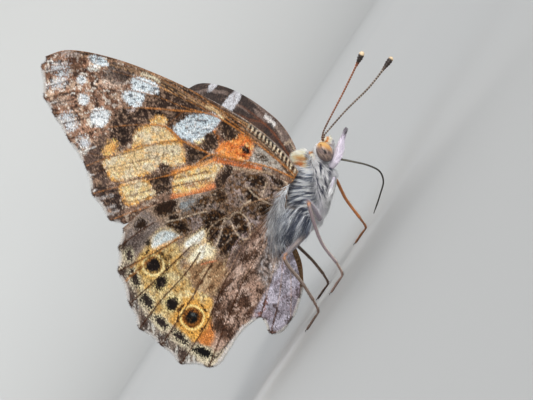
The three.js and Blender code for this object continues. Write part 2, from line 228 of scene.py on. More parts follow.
def painted(nodes):
    """The painted colour of a piece."""
    tint = nodes.new("ShaderNodeAttribute")
    tint.attribute_name = "tint"
    return tint.outputs["Color"]


def texture(nodes, links, place, kind, **settings):
    """A texture node in object space."""
    node = nodes.new(f"ShaderNodeTex{kind}")
    links.new(place, node.inputs["Vector"])
    for key, value in settings.items():
        node.inputs[key.replace("_", " ")].default_value = value
    return node


def spread(nodes, links, value, low, high):
    """Maps a 0 to 1 value to low..high."""
    node = nodes.new("ShaderNodeMapRange")
    node.inputs["To Min"].default_value = low
    node.inputs["To Max"].default_value = high
    links.new(value, node.inputs["Value"])
    return node.outputs["Result"]


def shaded(nodes, links, base, value):
    """Colour times a grey value."""
    node = nodes.new("ShaderNodeVectorMath")
    node.operation = "SCALE"
    links.new(base, node.inputs[0])
    links.new(value, node.inputs["Scale"])
    return node.outputs["Vector"]


def raised(nodes, links, surface, height, distance, strength):
    """Relief from a height value."""
    bump = nodes.new("ShaderNodeBump")
    bump.inputs["Distance"].default_value = distance
    bump.inputs["Strength"].default_value = strength
    links.new(height, bump.inputs["Height"])
    links.new(bump.outputs["Normal"], surface.inputs["Normal"])


def wing_material():
    """Tiny overlapping scales, each a little lighter or darker than the next."""
    m, nodes, links, surface, place = shader("wing_scales", 0.7, specular=0.12)
    scales = texture(nodes, links, place, "Voronoi", Scale=11000.0)
    cloud = texture(nodes, links, place, "Noise", Scale=2600.0, Detail=4.0)
    grain = nodes.new("ShaderNodeSeparateColor")
    links.new(scales.outputs["Color"], grain.inputs["Color"])
    tone = spread(nodes, links, grain.outputs["Red"], 0.84, 1.16)
    base = shaded(nodes, links, painted(nodes), tone)
    base = shaded(nodes, links, base, spread(nodes, links, cloud.outputs["Fac"], 0.9, 1.1))
    links.new(base, surface.inputs["Base Color"])
    raised(nodes, links, surface, scales.outputs["Distance"], 0.00003, 0.5)
    return m


def grained_material(name, rough, specular, sheen, grain, detail, change, height, strength):
    """The painted colour with a fine grain that changes its tone and raises its surface."""
    m, nodes, links, surface, place = shader(name, rough, specular=specular, sheen=sheen)
    speck = texture(nodes, links, place, "Noise", Scale=grain, Detail=detail)
    tone = spread(nodes, links, speck.outputs["Fac"], 1 - change, 1 + change)
    links.new(shaded(nodes, links, painted(nodes), tone), surface.inputs["Base Color"])
    raised(nodes, links, surface, speck.outputs["Fac"], height, strength)
    return m


def eye_material():
    """Hundreds of facets under a clear skin."""
    m, nodes, links, surface, place = shader("eye_facets", 0.36, specular=0.4, coat=0.12)
    facets = texture(nodes, links, place, "Voronoi", Scale=17000.0, Randomness=0.35)
    rim = spread(nodes, links, facets.outputs["Distance"], 1.1, 0.75)
    links.new(shaded(nodes, links, painted(nodes), rim), surface.inputs["Base Color"])
    raised(nodes, links, surface, spread(nodes, links, facets.outputs["Distance"], 1, 0), 0.00001, 0.5)
    return m


WING = wing_material()
HAIR = grained_material("soft_hair", 0.6, 0.3, 0.3, 9000.0, 3.0, 0.2, 0.00002, 0.4)
SKIN = grained_material("scaled_skin", 0.75, 0.3, 0.2, 9000.0, 3.0, 0.2, 0.00002, 0.4)
CUTICLE = grained_material("cuticle", 0.4, 0.5, 0.0, 14000.0, 4.0, 0.3, 0.00003, 0.5)
EYE = eye_material()

# Wing plans: each vein is a line of (x, up) points in the flat membrane, from the front edge to the
# rear. bay is the depth of the scallops between vein ends, and margins holds the stretches of the
# margin, after the vein of that number, that are drawn instead.
FRONT_EDGE = [(1.46, 18.5), (0.59, 23.4), (-0.7, 27.5), (-1.82, 29.5), (-3.3, 30.7)]
RADIAL_STEM = [(-0.3, 0.9), (0.2, 4.0), (0.65, 8.0)]
CUBITAL_STEM = [(-0.6, 0.9), (-1.1, 4.1), (-2.3, 7.6), (-3.1, 9.9)]
HIND_STEM = [(-2.8, 1.0), (-5.2, 3.4)]
FOREWING = {
    "bay": 0.25,
    "veins": [
        [(0.25, 0.9), (0.85, 2.24), (1.51, 4.33), (2.07, 8.8), (1.92, 13.8)] + FRONT_EDGE,
        [(0.05, 0.9), (0.9, 4.5), (1.45, 8.8), (1.6, 12.6), (1.7, 15.6)] + FRONT_EDGE,
        [(-0.15, 0.9), (0.5, 4.5), (1.0, 8.8), (1.2, 12.6), (1.2, 16.5)] + FRONT_EDGE[1:],
        RADIAL_STEM + [(0.75, 12.4), (0.15, 18.9), (-0.95, 24.0), (-3.0, 28.4), (-4.4, 30.6)],
        RADIAL_STEM
        + [(0.6, 12.4), (-0.19, 15.0), (-0.94, 18.9), (-2.28, 22.3), (-5.66, 27.0), (-7.3, 28.5)],
        RADIAL_STEM + [(0.6, 12.4), (-1.0, 15.8), (-3.2, 19.9), (-6.1, 23.8), (-8.25, 26.8)],
        CUBITAL_STEM + [(-3.5, 13.5), (-3.15, 15.8), (-5.5, 19.8), (-8.6, 23.1), (-9.75, 24.0)],
        CUBITAL_STEM + [(-3.5, 13.4), (-6.6, 17.1), (-9.6, 19.5), (-11.4, 20.8)],
        CUBITAL_STEM + [(-5.7, 11.1), (-7.4, 12.5), (-9.7, 14.8), (-11.9, 17.0), (-13.6, 18.6)],
        [(-1.0, 0.9), (-4.0, 4.5), (-8.0, 8.7), (-12.0, 12.9), (-15.1, 15.4)],
        [(-1.3, 0.8), (-4.5, 3.9), (-8.5, 8.0), (-12.2, 11.8), (-14.7, 13.8)],
    ],
    "margins": {},
}
HINDWING = {
    "bay": 0.3,
    "veins": [
        [(-1.3, 1.3), (-1.7, 3.6), (-3.0, 6.0), (-4.2, 7.1), (-5.5, 7.1), (-9.0, 10.4),
         (-11.8, 12.7), (-15.0, 13.8)],
        [(-2.0, 1.15), (-3.9, 4.2), (-6.5, 6.6), (-10.5, 9.8), (-14.0, 11.9), (-17.2, 13.0)],
        HIND_STEM + [(-8.9, 5.4), (-13.4, 8.1), (-15.9, 9.4), (-19.5, 11.6)],
        HIND_STEM + [(-8.9, 5.3), (-13.6, 6.4), (-17.6, 7.4), (-22.0, 8.6)],
        HIND_STEM + [(-8.0, 4.4), (-10.7, 5.0), (-15.5, 5.1), (-20.3, 5.9), (-23.8, 6.2)],
        [(-3.8, 0.5), (-7.5, 2.7), (-12.0, 3.3), (-18.2, 3.1), (-24.2, 3.1)],
        [(-4.7, 0.1), (-8.5, 1.5), (-14.0, 1.1), (-19.3, 0.2), (-24.9, 0.1)],
        [(-5.6, -0.3), (-9.2, -0.6), (-12.2, -0.5), (-17.3, -1.4), (-23.5, -2.7)],
        [(-6.3, -0.9), (-9.0, -2.2), (-12.2, -3.3), (-15.5, -4.4)],
        [(-6.45, -1.2), (-8.8, -2.9), (-12.5, -4.9), (-16.3, -6.3)],
        [(-6.55, -1.5), (-8.5, -3.6), (-11.0, -5.5), (-13.9, -7.3)],
        [(-6.6, -1.8), (-7.6, -3.4), (-9.0, -5.2), (-10.8, -6.6)],
    ],
    "margins": {
        7: [(-22.3, -3.35), (-20.6, -3.4), (-18.8, -3.35), (-17.0, -3.65)],
        8: [(-15.6, -5.2)],
        9: [(-15.4, -7.05)],
        10: [(-12.4, -7.1)],
    },
}


def wing_outline(plan):
    """The front edge, the scalloped outer margin and the inner edge, as one closed line."""
    veins = plan["veins"]
    root = np.array(veins[0][0])
    tips = [np.array(v[-1], float) for v in veins if v[-1] != veins[0][-1]]
    tips = [np.array(veins[0][-1], float)] + tips
    keys = [0] + [i for i, v in enumerate(veins) if v[-1] != veins[0][-1]]
    margin = [tips[0]]
    for key, here, there in zip(keys, tips, tips[1:]):
        drawn = plan["margins"].get(key)
        if drawn:
            margin += [np.array(d) for d in drawn]
        else:
            for t in (0.3, 0.5, 0.7):
                at = here + (there - here) * t
                inward = (root - at) / np.linalg.norm(root - at)
                margin.append(at + inward * plan["bay"] * math.sin(math.pi * t))
        margin.append(there)
    front = curve(veins[0], 120)
    outer = curve(margin, 260)
    inner = curve(veins[-1], 90)[::-1]
    return np.vstack([front, outer[1:], inner[1:]]), outer


def forewing_lift(x, up):
    """How far outward the forewing's membrane lies."""
    return np.full(x.shape, FORE_RISE)


def hindwing_lift(x, up):
    """The same for the hindwing, less in front of the line where it meets the forewing."""
    depth = (x - HINGE_BACK) * 0.683 + (up - HINGE_UP) * 0.731
    return HIND_RISE * ramp(depth, -3, -0.6)


def wing_place(x, up, rise, side, lean, bend):
    """Where a place on the membrane lies in space; rise is outward, to the underside."""
    step = 0.02
    table = np.arange(-10, 34, step)
    tilt = math.radians(lean) * ramp(table, *bend)
    run_out = np.r_[0, np.cumsum(np.sin(tilt[:-1]) * step)]
    run_high = np.r_[0, np.cumsum(np.cos(tilt[:-1]) * step)]
    run_out += HINGE_OUT - np.interp(HINGE_UP, table, run_out)
    run_high += HINGE_UP - np.interp(HINGE_UP, table, run_high)
    out, high = np.interp(up, table, run_out), np.interp(up, table, run_high)
    bow = CAMBER * np.sin(np.pi * np.clip((x + 24) / 26, 0, 1))
    flare = LOBE_FLARE * ramp(-up, 1.5, 7)
    lift = rise - bow * ramp(up, 0.5, 6) + flare
    angle = math.radians(lean) * ramp(up, *bend)
    return np.stack([x, side * (out + np.cos(angle) * lift), high - np.sin(angle) * lift], axis=-1)


# Markings are drawn on a flat sheet (p, q), the near wing as the camera sees it, which lies almost
# square over the membrane. Each row has the shares of 1, x, up, x * up and up * up.
SHEET_P = (-0.046, 0.9762, -0.0259, 0.001096, -0.000084)
SHEET_Q = (0.0185, -0.004, 0.9736, 0.000617, 0.000884)


def sheet(x, up):
    """Place on the sheet of a place on the membrane."""
    return tuple(a + b * x + c * up + d * x * up + e * up * up for a, b, c, d, e in (SHEET_P, SHEET_Q))


def sheet_line(vein):
    """A vein as a line on the sheet."""
    return np.stack(sheet(*curve(vein, 70).T), axis=1)


# How clouds of tone are drawn out: each grain has the two rows of a matrix that turns (p, q).
PLAIN = (1, 0, 0, 1)
FORE_GRAIN, BAR_GRAIN = (1.0, 0.45, -0.5, 0.8), (1.34, 0.86, 0.27, -0.42)
HIND_GRAIN, PANEL_GRAIN = (0.5, 0.1, 0.1, 1.1), (0.6, 0.4, -0.5, 1.4)
RIM_GRAIN, LOBE_GRAIN = (0.4, 0.3, -1, 1.6), (0.4, -0.2, 0.6, 1.2)
ALL_OVER = 1.0


class Paint:
    """Colours for the points of one wing face, laid on coat after coat.

    Outlines, ovals and lines are in millimetres on the sheet, tones are sRGB. soft is the half
    width of an edge and rough how far single scales stray over it.
    """

    def __init__(self, p, q, base, seed):
        self.p, self.q, self.seed = p, q, seed
        self.wp = p + 0.34 * (noise(p * 1.7, q * 1.7, seed + 1) - 0.5)
        self.wq = q + 0.34 * (noise(p * 1.7, q * 1.7, seed + 2) - 0.5)
        self.grain = np.random.default_rng(seed).random(p.shape) - 0.5
        self.rgb = np.tile(colour(*base), (len(p), 1))

    def lay(self, mask, rgb, strength=1.0):
        self.rgb = blend(self.rgb, np.clip(mask * strength, 0, 1), colour(*rgb))

    def edge(self, distance, soft, rough):
        return 1 - ramp(distance + self.grain * rough, -soft, soft)

    def inside(self, points, soft=0.14, rough=0.3):
        outline = rounded(points)
        d, _ = signed_distance(self.wp, self.wq, outline)
        return self.edge(d, soft, rough)

    def patch(self, points, rgb, soft=0.14, rough=0.3, strength=1.0):
        self.lay(self.inside(points, soft, rough), rgb, strength)

    def oval(self, cp, cq, rp, rq=None, turn=0):
        rq = rq or rp
        c, s = math.cos(math.radians(turn)), math.sin(math.radians(turn))
        dp, dq = (self.p + self.wp) / 2 - cp, (self.q + self.wq) / 2 - cq
        u, v = (c * dp + s * dq) / rp, (c * dq - s * dp) / rq
        return (np.sqrt(u * u + v * v) - 1) * min(rp, rq)

    def spot(self, cp, cq, rp, rgb, rq=None, turn=0, soft=0.12, rough=0.25, strength=1.0):
        self.lay(self.edge(self.oval(cp, cq, rp, rq, turn), soft, rough), rgb, strength)

    def ring(self, cp, cq, rp, rgb, width=0.15, rq=None, turn=0, soft=0.08, strength=1.0):
        d = np.abs(self.oval(cp, cq, rp, rq, turn)) - width
        self.lay(self.edge(d, soft, 0.15), rgb, strength)

    def stroke(self, points, rgb, width=0.1, soft=0.08, rough=0.1, strength=1.0, straight=False):
        line = np.array(points, float) if straight else curve(points, 40)
        d, _ = line_distance(self.p, self.q, line)
        self.lay(self.edge(d - width, soft, rough), rgb, strength)

    def mottle(self, rgb, size, share, within=1.0, strength=0.8, soft=0.06, slant=PLAIN):
        a, b, c, d = slant
        u, v = (a * self.p + b * self.q) / size, (c * self.p + d * self.q) / size
        self.seed += 7
        n = noise(u, v, self.seed + 11, 4) + self.grain * 0.12
        level = np.quantile(n, 1 - share)
        self.lay(ramp(n, level - soft, level + soft) * within, rgb, strength)

    def mottles(self, within, *rows, slant=PLAIN):
        """Clouds of tone inside a mask, in order; rows are (tone, size, share, strength)."""
        for rgb, size, share, strength in rows:
            self.mottle(rgb, size, share, within, strength, slant=slant)


def vein_lines(art, veins, tones, width):
    """Each vein in the tone of the place: tones are (limit on q, colour), highest first."""
    for vein in veins:
        d, near = line_distance(art.p, art.q, sheet_line(vein))
        rgb = np.tile(colour(*tones[-1][1]), (len(d), 1))
        for limit, tone in tones[-2::-1]:
            rgb = np.where((near[:, 1] > limit)[:, None], colour(*tone), rgb)
        art.rgb = blend(art.rgb, art.edge(d - width, 0.05, 0.06) * 0.85, rgb)


def fore_tip(art):
    """Tip: red-brown, speckled with black, tan and white."""
    apex = art.inside([(0.6, 20.8), (-3, 21.2), (-8, 20.4), (-12.5, 20), (-13, 32), (2, 32)], 0.6, 0.6)
    art.lay(apex, (160, 122, 100))
    art.mottles(apex, ((104, 72, 56), 0.8, 0.45, 0.8), ((206, 178, 154), 0.5, 0.24, 0.75),
                ((50, 34, 30), 0.42, 0.27, 0.9), ((236, 226, 214), 0.3, 0.1, 0.85), slant=FORE_GRAIN)
    for outline, rgb, strength in (
        ([(-4.4, 27.2), (-3.6, 28.7), (-2.2, 28.8), (-1.7, 27.5), (-2.6, 26.7), (-3.6, 26.6)], (74, 50, 38),
         0.75),
        ([(-2.9, 24.6), (-1.7, 24.6), (-0.7, 24.3), (-0.3, 21.6), (-2.7, 21.7), (-3, 23)], (84, 74, 70),
         0.75),
        ([(-1.9, 23.4), (-0.8, 23.6), (-0.5, 21.7), (-2, 21.8)], (52, 40, 36), 0.7),
        ([(-5.8, 24.2), (-4.6, 24.2), (-4.4, 23.2), (-5.8, 23.4)], (66, 44, 36), 0.6),
        ([(-5.2, 22.6), (-3.6, 22.6), (-3.8, 21.4), (-5.4, 21.3)], (96, 66, 50), 0.5),
        ([(-9.6, 27.6), (-8.9, 26.3), (-9.4, 25.6), (-10, 26.4)], (84, 62, 52), 0.6),
        ([(-10.6, 24.6), (-9.8, 23.8), (-10.2, 23.2), (-10.9, 23.6)], (88, 66, 58), 0.6),
    ):
        art.patch(outline, rgb, soft=0.25, rough=0.7, strength=strength)


def fore_smoke(art):
    """Smoky white marks near the margin."""
    for cp, cq, rp, rq, turn, rgb in (
        (-4.4, 28.9, 0.75, 0.4, -45, (218, 222, 226)), (-5.0, 28.1, 0.5, 0.34, -45, (210, 216, 220)),
        (-6.1, 28.0, 0.8, 0.42, -40, (220, 226, 232)), (-7.6, 26.6, 0.7, 0.3, -40, (190, 168, 152)),
        (-8.7, 25.2, 0.75, 0.5, -30, (212, 218, 224)), (-9.1, 24.3, 0.62, 0.5, -40, (222, 228, 234)),
        (-9.9, 22.0, 0.5, 0.75, -20, (210, 214, 220)), (-10.8, 21.4, 0.6, 0.42, -40, (236, 234, 226)),
        (-11.9, 19.9, 0.5, 0.3, -40, (196, 184, 180)), (-4.3, 19.7, 0.8, 0.36, -15, (214, 198, 192)),
        (-3.1, 23.2, 0.3, 0.7, 20, (206, 180, 162)), (-2.6, 28.9, 0.8, 0.3, -60, (206, 190, 184)),
    ):
        art.spot(cp, cq, rp, rgb, rq=rq, turn=turn, soft=0.25, rough=0.7, strength=0.85)


def fore_bands(art):
    """Dark band across the wing, and the dark border inside the margin."""
    for outline, rgb in (
        ([(1.4, 18.5), (-0.4, 18.4), (-1.2, 18.6), (-1.6, 19.1), (-3.8, 19.1), (-4.6, 19.4), (-4.3, 20.6),
          (-6.2, 21), (-7.1, 20.3), (-8.2, 19.9), (-8.5, 19.2), (-8.2, 18.3), (-7, 18), (-4.8, 18.1),
          (-3.9, 17.5), (-3, 16.4), (-3.5, 15.5), (-3.5, 14.9), (-2, 15), (-0.9, 14), (0.3, 12.9),
          (1.7, 13.2)], (54, 40, 34)),
        ([(-15.6, 13.4), (-14, 14.6), (-12.9, 15.4), (-12.2, 16.8), (-11.7, 18), (-10.9, 19.2), (-10, 20),
          (-8.3, 20), (-8.2, 20.6), (-9, 21.3), (-10.4, 21.2), (-11.3, 21.5), (-13.2, 19.4), (-15, 17),
          (-16.4, 14.4)],
         (88, 70, 62)),
        ([(-13.4, 17), (-12.1, 16.6), (-12.6, 15.4), (-14.4, 14.3), (-14.6, 15.4)], (50, 38, 34)),
        ([(-11.9, 19.2), (-10.7, 19.4), (-10.6, 18.5), (-11.8, 18)], (56, 42, 36)),
    ):
        art.patch(outline, rgb, rough=0.6)
    band = art.inside([(1.8, 13), (-3.9, 13.6), (-5, 17.9), (-8.2, 18.2), (-10.5, 19), (-13, 15.4),
                       (-16.5, 14), (-11, 21.6), (-4, 21), (-1.5, 19.3), (1.2, 18.6)], 0.3)
    art.mottles(band, ((146, 118, 98), 0.32, 0.24, 0.8), ((28, 20, 18), 0.5, 0.22, 0.7), slant=FORE_GRAIN)


def fore_panels(art):
    """Cream panels, orange where they meet a vein."""
    p, q = art.p, art.q
    cream, amber = (220, 188, 138), (222, 158, 78)
    panels = [
        ([(-3.9, 13.4), (-5.5, 15.2), (-7, 16.9), (-8.5, 18.1), (-9.8, 19), (-10.5, 19.4), (-11.1, 18.7),
          (-11.7, 17.2), (-11.5, 16.7), (-10.3, 15.5), (-9, 14.4), (-7.9, 13.8), (-7.1, 14), (-7.2, 12.9),
          (-6.2, 11.9), (-5.6, 11.7), (-5, 12.2), (-4.5, 12.8)], cream),
        ([(-3.8, 14), (-3.6, 15.6), (-4.2, 17), (-4.9, 17.9), (-6.3, 18), (-7.5, 17.5), (-6.9, 16.8),
          (-5.5, 15.2), (-4.2, 13.7)], cream),
        ([(-3.7, 15.7), (-2.7, 15.9), (-2.9, 16.9), (-3.9, 17.5), (-4.3, 17)], (226, 178, 108)),
        ([(-11.95, 16.4), (-12.6, 15.3), (-13.3, 14.4), (-12.2, 13.5), (-10.2, 12.2), (-10, 13), (-9.4, 14.2),
          (-10.3, 15.1), (-11.5, 16.4)], (222, 192, 138)),
        ([(-3.5, 9), (-4.3, 9.9), (-5.5, 10.9), (-6.9, 12.1), (-7.7, 12), (-8.5, 11.6), (-9.2, 10.9),
          (-9.5, 10.2), (-8.4, 9.2), (-7, 8.2), (-6, 7.8), (-5.2, 8), (-4.2, 8), (-3.6, 8)], (226, 184, 118)),
    ]
    art.patch([(-10, 19.2), (-9.6, 19.9), (-8.5, 20), (-7.8, 19.5), (-8, 18.9), (-8.7, 18.6), (-9.4, 18.9)],
              (222, 172, 104), soft=0.2, rough=0.6)
    art.spot(-8.6, 19.1, 0.34, (196, 132, 66), strength=0.7)
    field = 0
    for outline, rgb in panels:
        art.patch(outline, amber, soft=0.14)
        inner = art.inside(outline, 0.1)
        shell = signed_distance(p, q, rounded(outline))[0]
        art.lay(ramp(-shell, 0.06, 0.42) * inner, rgb)
        field = field + inner
    field = np.clip(field, 0, 1)
    art.mottles(field, ((206, 194, 170), 0.9, 0.36, 0.75), ((216, 166, 98), 0.5, 0.15, 0.6), slant=FORE_GRAIN)
    art.mottles(field, ((140, 118, 88), 0.24, 0.2, 0.7), ((240, 224, 184), 0.26, 0.16, 0.65))
    art.spot(-6.5, 16.6, 0.22, (122, 108, 84), strength=0.7)


def fore_stripes(art):
    """Lengthwise stripes of the lowest panel, its pink-orange lower edge and bright front corner; where the
    panel is folded, dark lines of painted shade and a pale streak of painted highlight between them.
    """
    art.stroke([(-9.5, 10.6), (-8.4, 9.3), (-7, 8.3), (-6.2, 7.8)], (222, 134, 84), 0.34, 0.2, 0.3, 0.8)
    # folds: dark lines of painted shade with a pale streak of painted highlight between them
    art.stroke([(-8.6, 11.3), (-7.2, 9.9), (-5.8, 8.5)], (84, 56, 38), 0.08, 0.06, strength=0.95)
    art.stroke([(-8.1, 11.5), (-6.8, 10.1), (-5.4, 8.7)], (250, 224, 172), 0.13, strength=0.8)
    art.stroke([(-7.7, 11.6), (-6.4, 10.2), (-5.0, 9)], (104, 70, 44), 0.06, strength=0.85)
    art.stroke([(-7.8, 10.1), (-6.6, 9), (-6, 8.2)], (150, 96, 62), 0.16, 0.12, 0.4, 0.75)
    art.stroke([(-7.4, 12.2), (-5.9, 10.9), (-4.5, 9.7), (-3.7, 9.1)], (222, 138, 62), 0.26, 0.2, 0.3, 0.75)


def fore_cell_root(art):
    """Orange root of the cell."""
    p, q = art.p, art.q
    art.patch([(-3.0, 9.7), (-2.9, 8.4), (-2.4, 7.1), (-2.0, 6.4), (-1.2, 6.0), (-0.3, 6.3), (0.3, 7.4),
               (0.3, 8.5), (-0.6, 8.8), (-1.3, 9.1), (-1.9, 9.7)], (222, 136, 68))
    art.stroke([(-2.1, 9.7), (-1.5, 10.3), (-1.1, 11), (-0.2, 11.1), (0.7, 10.8)], (214, 128, 62), 0.12, 0.1,
               0.3)
    orange = art.inside([(-3.2, 9.9), (-2, 6), (0.2, 6.2), (0.4, 8.8), (-1.4, 10)], 0.1)
    art.mottle((238, 184, 122), 0.5, 0.34, orange, 0.8)
    art.mottle((196, 84, 34), 0.36, 0.3, orange * ramp(p + 0.5 * (9 - q), -2.6, -0.6), 0.85)
    art.spot(-1.0, 6.95, 0.4, (26, 18, 16), rq=0.48)
    art.spot(-1.7, 6.8, 0.16, (92, 40, 22), rq=0.3, strength=0.8)
    art.patch([(-2.0, 6.1), (-0.5, 6.1), (0.1, 6.3), (0.2, 5), (-0.4, 2), (-1.3, 3)], (168, 160, 150))
    art.spot(-0.8, 5.1, 0.36, (62, 48, 38), rq=0.55, rough=0.6)
    art.mottle((98, 82, 68), 0.4, 0.3, art.inside([(-1.9, 6), (0, 6), (-0.4, 2), (-1.3, 3)], 0.1), 0.7)


def fore_root(art):
    """Root below the cell: orange and cream stripes on brown."""
    art.stroke([(-3.7, 9), (-3.1, 7.8), (-2.5, 6.2), (-1.9, 4.6)], (214, 116, 58), 0.26, 0.2, 0.4, 0.85)
    art.stroke([(-4.1, 7.9), (-3.2, 6.6), (-2.3, 4.8), (-1.7, 3.2)], (206, 178, 146), 0.12, 0.12, 0.3, 0.75)
    art.stroke([(-3.3, 8.4), (-2.7, 7), (-2.2, 5.6)], (70, 46, 34), 0.08, 0.06, 0.2, 0.7)


def fore_front(art):
    """Front edge: a ladder of cream and black near the root, brown lines beyond."""
    p, q = art.p, art.q
    front = np.interp(q, [1, 3, 6, 9, 13, 18, 23, 26, 28.5, 30.6],
                      [0.45, 1.2, 1.75, 1.95, 1.8, 1.25, 0.3, -0.8, -2, -4.2])
    depth = front - p
    deep = np.interp(q, [9, 13, 20, 25, 30], [1.45, 1.7, 1.5, 1.0, 0.5])
    art.lay(ramp(deep - depth, 0, 0.15) * ramp(16.5 - q, 0, 3), (84, 62, 48))
    for seed, rgb, share in ((41, (146, 116, 90), 0.46), (43, (44, 33, 28), 0.46), (47, (190, 146, 98), 0.6)):
        lines = ramp(noise(depth * 7 + seed, q * 0.16, seed, 2), share, share + 0.1)
        art.lay(lines * ramp(deep + 0.2 - depth, 0, 0.3) * ramp(29.8 - q, 0, 2), rgb, 0.8)
    strip = ramp(depth, 0.3, 0.38) * ramp(1.0 - depth, 0, 0.14) * ramp(8.6 - q, 0, 0.8)
    art.lay(strip, (44, 34, 30))
    rungs = np.sin(q * 12 + depth * 2.2 + 5 * noise(q * 0.8, depth * 2, 49))
    art.lay(strip * ramp(rungs, 0.0, 0.4), (212, 194, 166), 0.9)
    art.stroke([(0.42, 10.6), (0.78, 12), (0.72, 13.1)], (228, 200, 152), 0.13)
    art.stroke([(0.95, 10.5), (1.1, 12), (1.02, 13.2)], (180, 136, 90), 0.06)
    art.lay((1 - ramp(depth, 0.1, 0.2)) * ramp(29.6 - q, 0, 2), (58, 46, 42), 0.9)
    art.lay(ramp(depth, 0.16, 0.2) * (1 - ramp(depth, 0.26, 0.32)) * ramp(14.5 - q, 0, 2), (150, 146, 142),
            0.7)


def fore_dark_patches(art):
    """Dark patches round the cell."""
    for outline in (
        [(-10.1, 12.7), (-9.7, 13.3), (-9.1, 14.2), (-8.7, 13.6), (-7.9, 13.4), (-7.1, 13.7), (-7, 12.8),
         (-7.9, 12.2), (-8.6, 11.9), (-9.2, 11.3), (-10, 11.7)],
        [(-4.0, 12.6), (-4.7, 12.2), (-5.6, 11.3), (-5.2, 10.8), (-4.1, 9.9), (-3.4, 9.6), (-3.3, 10.6),
         (-3.5, 11.7)],
        [(-3.2, 10.2), (-2.6, 9.8), (-1.9, 9.8), (-1.2, 10.8), (-1.5, 11.4), (-2.4, 11.6), (-3.2, 11.2)],
        [(0.3, 10.9), (0.9, 10.5), (1.1, 9.2), (0.2, 8.6), (-0.6, 8.5), (-1.3, 9.1), (-1, 10.3)],
        [(-6.1, 7.5), (-5.2, 7.9), (-4, 7.7), (-3.2, 7.3), (-3.7, 6.8), (-4.9, 6.6), (-5.8, 7)],
    ):
        art.patch(outline, (48, 35, 28), soft=0.14, rough=0.6)
        art.mottle((124, 98, 76), 0.28, 0.16, art.inside(outline, 0.05), 0.7)


def fore_white(art):
    """White cell patch, white bars and spots."""
    bar = 0
    for outline, rgb in (
        ([(-3.4, 14.8), (-2.8, 14.8), (-1.7, 14.4), (-0.9, 13.9), (-0.3, 13.2), (0.3, 12.4), (0.5, 11.8),
          (0.5, 11), (-0.5, 10.9), (-1.2, 11.1), (-1.9, 11.6), (-2.4, 11.4), (-3.1, 11.6), (-3.4, 12.2),
          (-3.7, 13.2), (-3.6, 14.3)], (194, 206, 213)),
        ([(-2.9, 21.6), (-2.4, 21.1), (-1.6, 19.3), (-3.2, 19), (-3.8, 19.8), (-3.6, 21.1)], (214, 224, 230)),
        ([(-1.1, 21.7), (-0.4, 20.5), (-0.1, 18.5), (-1.1, 18.3), (-1.7, 19.4), (-2.3, 20.9)],
         (212, 222, 228)),
        ([(-1.6, 27), (-1.0, 25.5), (-1.1, 24.5), (-1.6, 24.6), (-2.2, 26.3)], (208, 220, 228)),
        ([(-2.4, 26.4), (-1.75, 24.8), (-2.6, 25.2), (-3.1, 26.2)], (236, 232, 218)),
    ):
        art.patch(outline, rgb, soft=0.1, rough=0.25)
        bar = bar + art.inside(outline)
    art.patch([(-3.3, 12.3), (-2.5, 11.6), (-2.2, 11.5), (-2.9, 11.4), (-3.3, 11.7)], (238, 204, 140),
              strength=0.9)
    art.patch([(-0.3, 21), (0.05, 21.1), (0.4, 19.2), (0.1, 18.9)], (232, 220, 192))
    for cp, cq, rp, rq in ((-4.35, 26.05, 0.46, 0.46), (-5.95, 24.7, 0.6, 0.62), (-6.65, 22.15, 1.1, 1.0)):
        art.spot(cp, cq, rp, (230, 234, 236), rq=rq, soft=0.1)
        bar = bar + art.edge(art.oval(cp, cq, rp, rq), 0.1, 0.2)
    bar = np.clip(bar, 0, 1)
    art.mottle((230, 236, 240), 0.3, 0.3, bar, 0.7, slant=BAR_GRAIN)
    art.mottle((74, 80, 88), 0.2, 0.2, bar, 0.85, soft=0.03, slant=BAR_GRAIN)


def fore_folds(art):
    """Folds that reach the margin between the veins: dark lines of painted shade in them, with white and pale
    lines of painted highlight.
    """
    folds = (((-4.4, 28.2), (-6.1, 30.1)), ((-4.7, 26.7), (-7.4, 29.2)), ((-6.6, 25.6), (-8.8, 27.8)),
             ((-7.3, 23.1), (-9.6, 25.3)), ((-8.3, 19.6), (-10.5, 21.3)), ((-11.4, 18.3), (-12.9, 19.7)),
             ((-12.6, 17.6), (-14.2, 18.4)), ((-13.4, 16.3), (-15, 17)), ((-3.6, 28.6), (-4.9, 30.4)))
    for a, b in folds:
        a, b = np.array(a), np.array(b)
        tip = a + (b - a) * 0.62
        side = np.array([0.1, 0.1])
        # painted shade in the fold, and a painted highlight beside it near the margin
        art.stroke([a, b], (50, 38, 36), 0.07, 0.05, 0.05, 0.8, straight=True)
        art.stroke([tip + side, b + side], (226, 222, 218), 0.07, 0.06, 0.1, 0.75, straight=True)
    # pale lines of painted highlight on three more folds
    for a, b in (((-14.3, 17.5), (-13.1, 16.4)), ((-14.9, 16.5), (-13.9, 15.6)),
                 ((-15.2, 15.7), (-14.2, 15))):
        art.stroke([a, b], (184, 176, 172), 0.13, 0.12, 0.3, 0.65, straight=True)


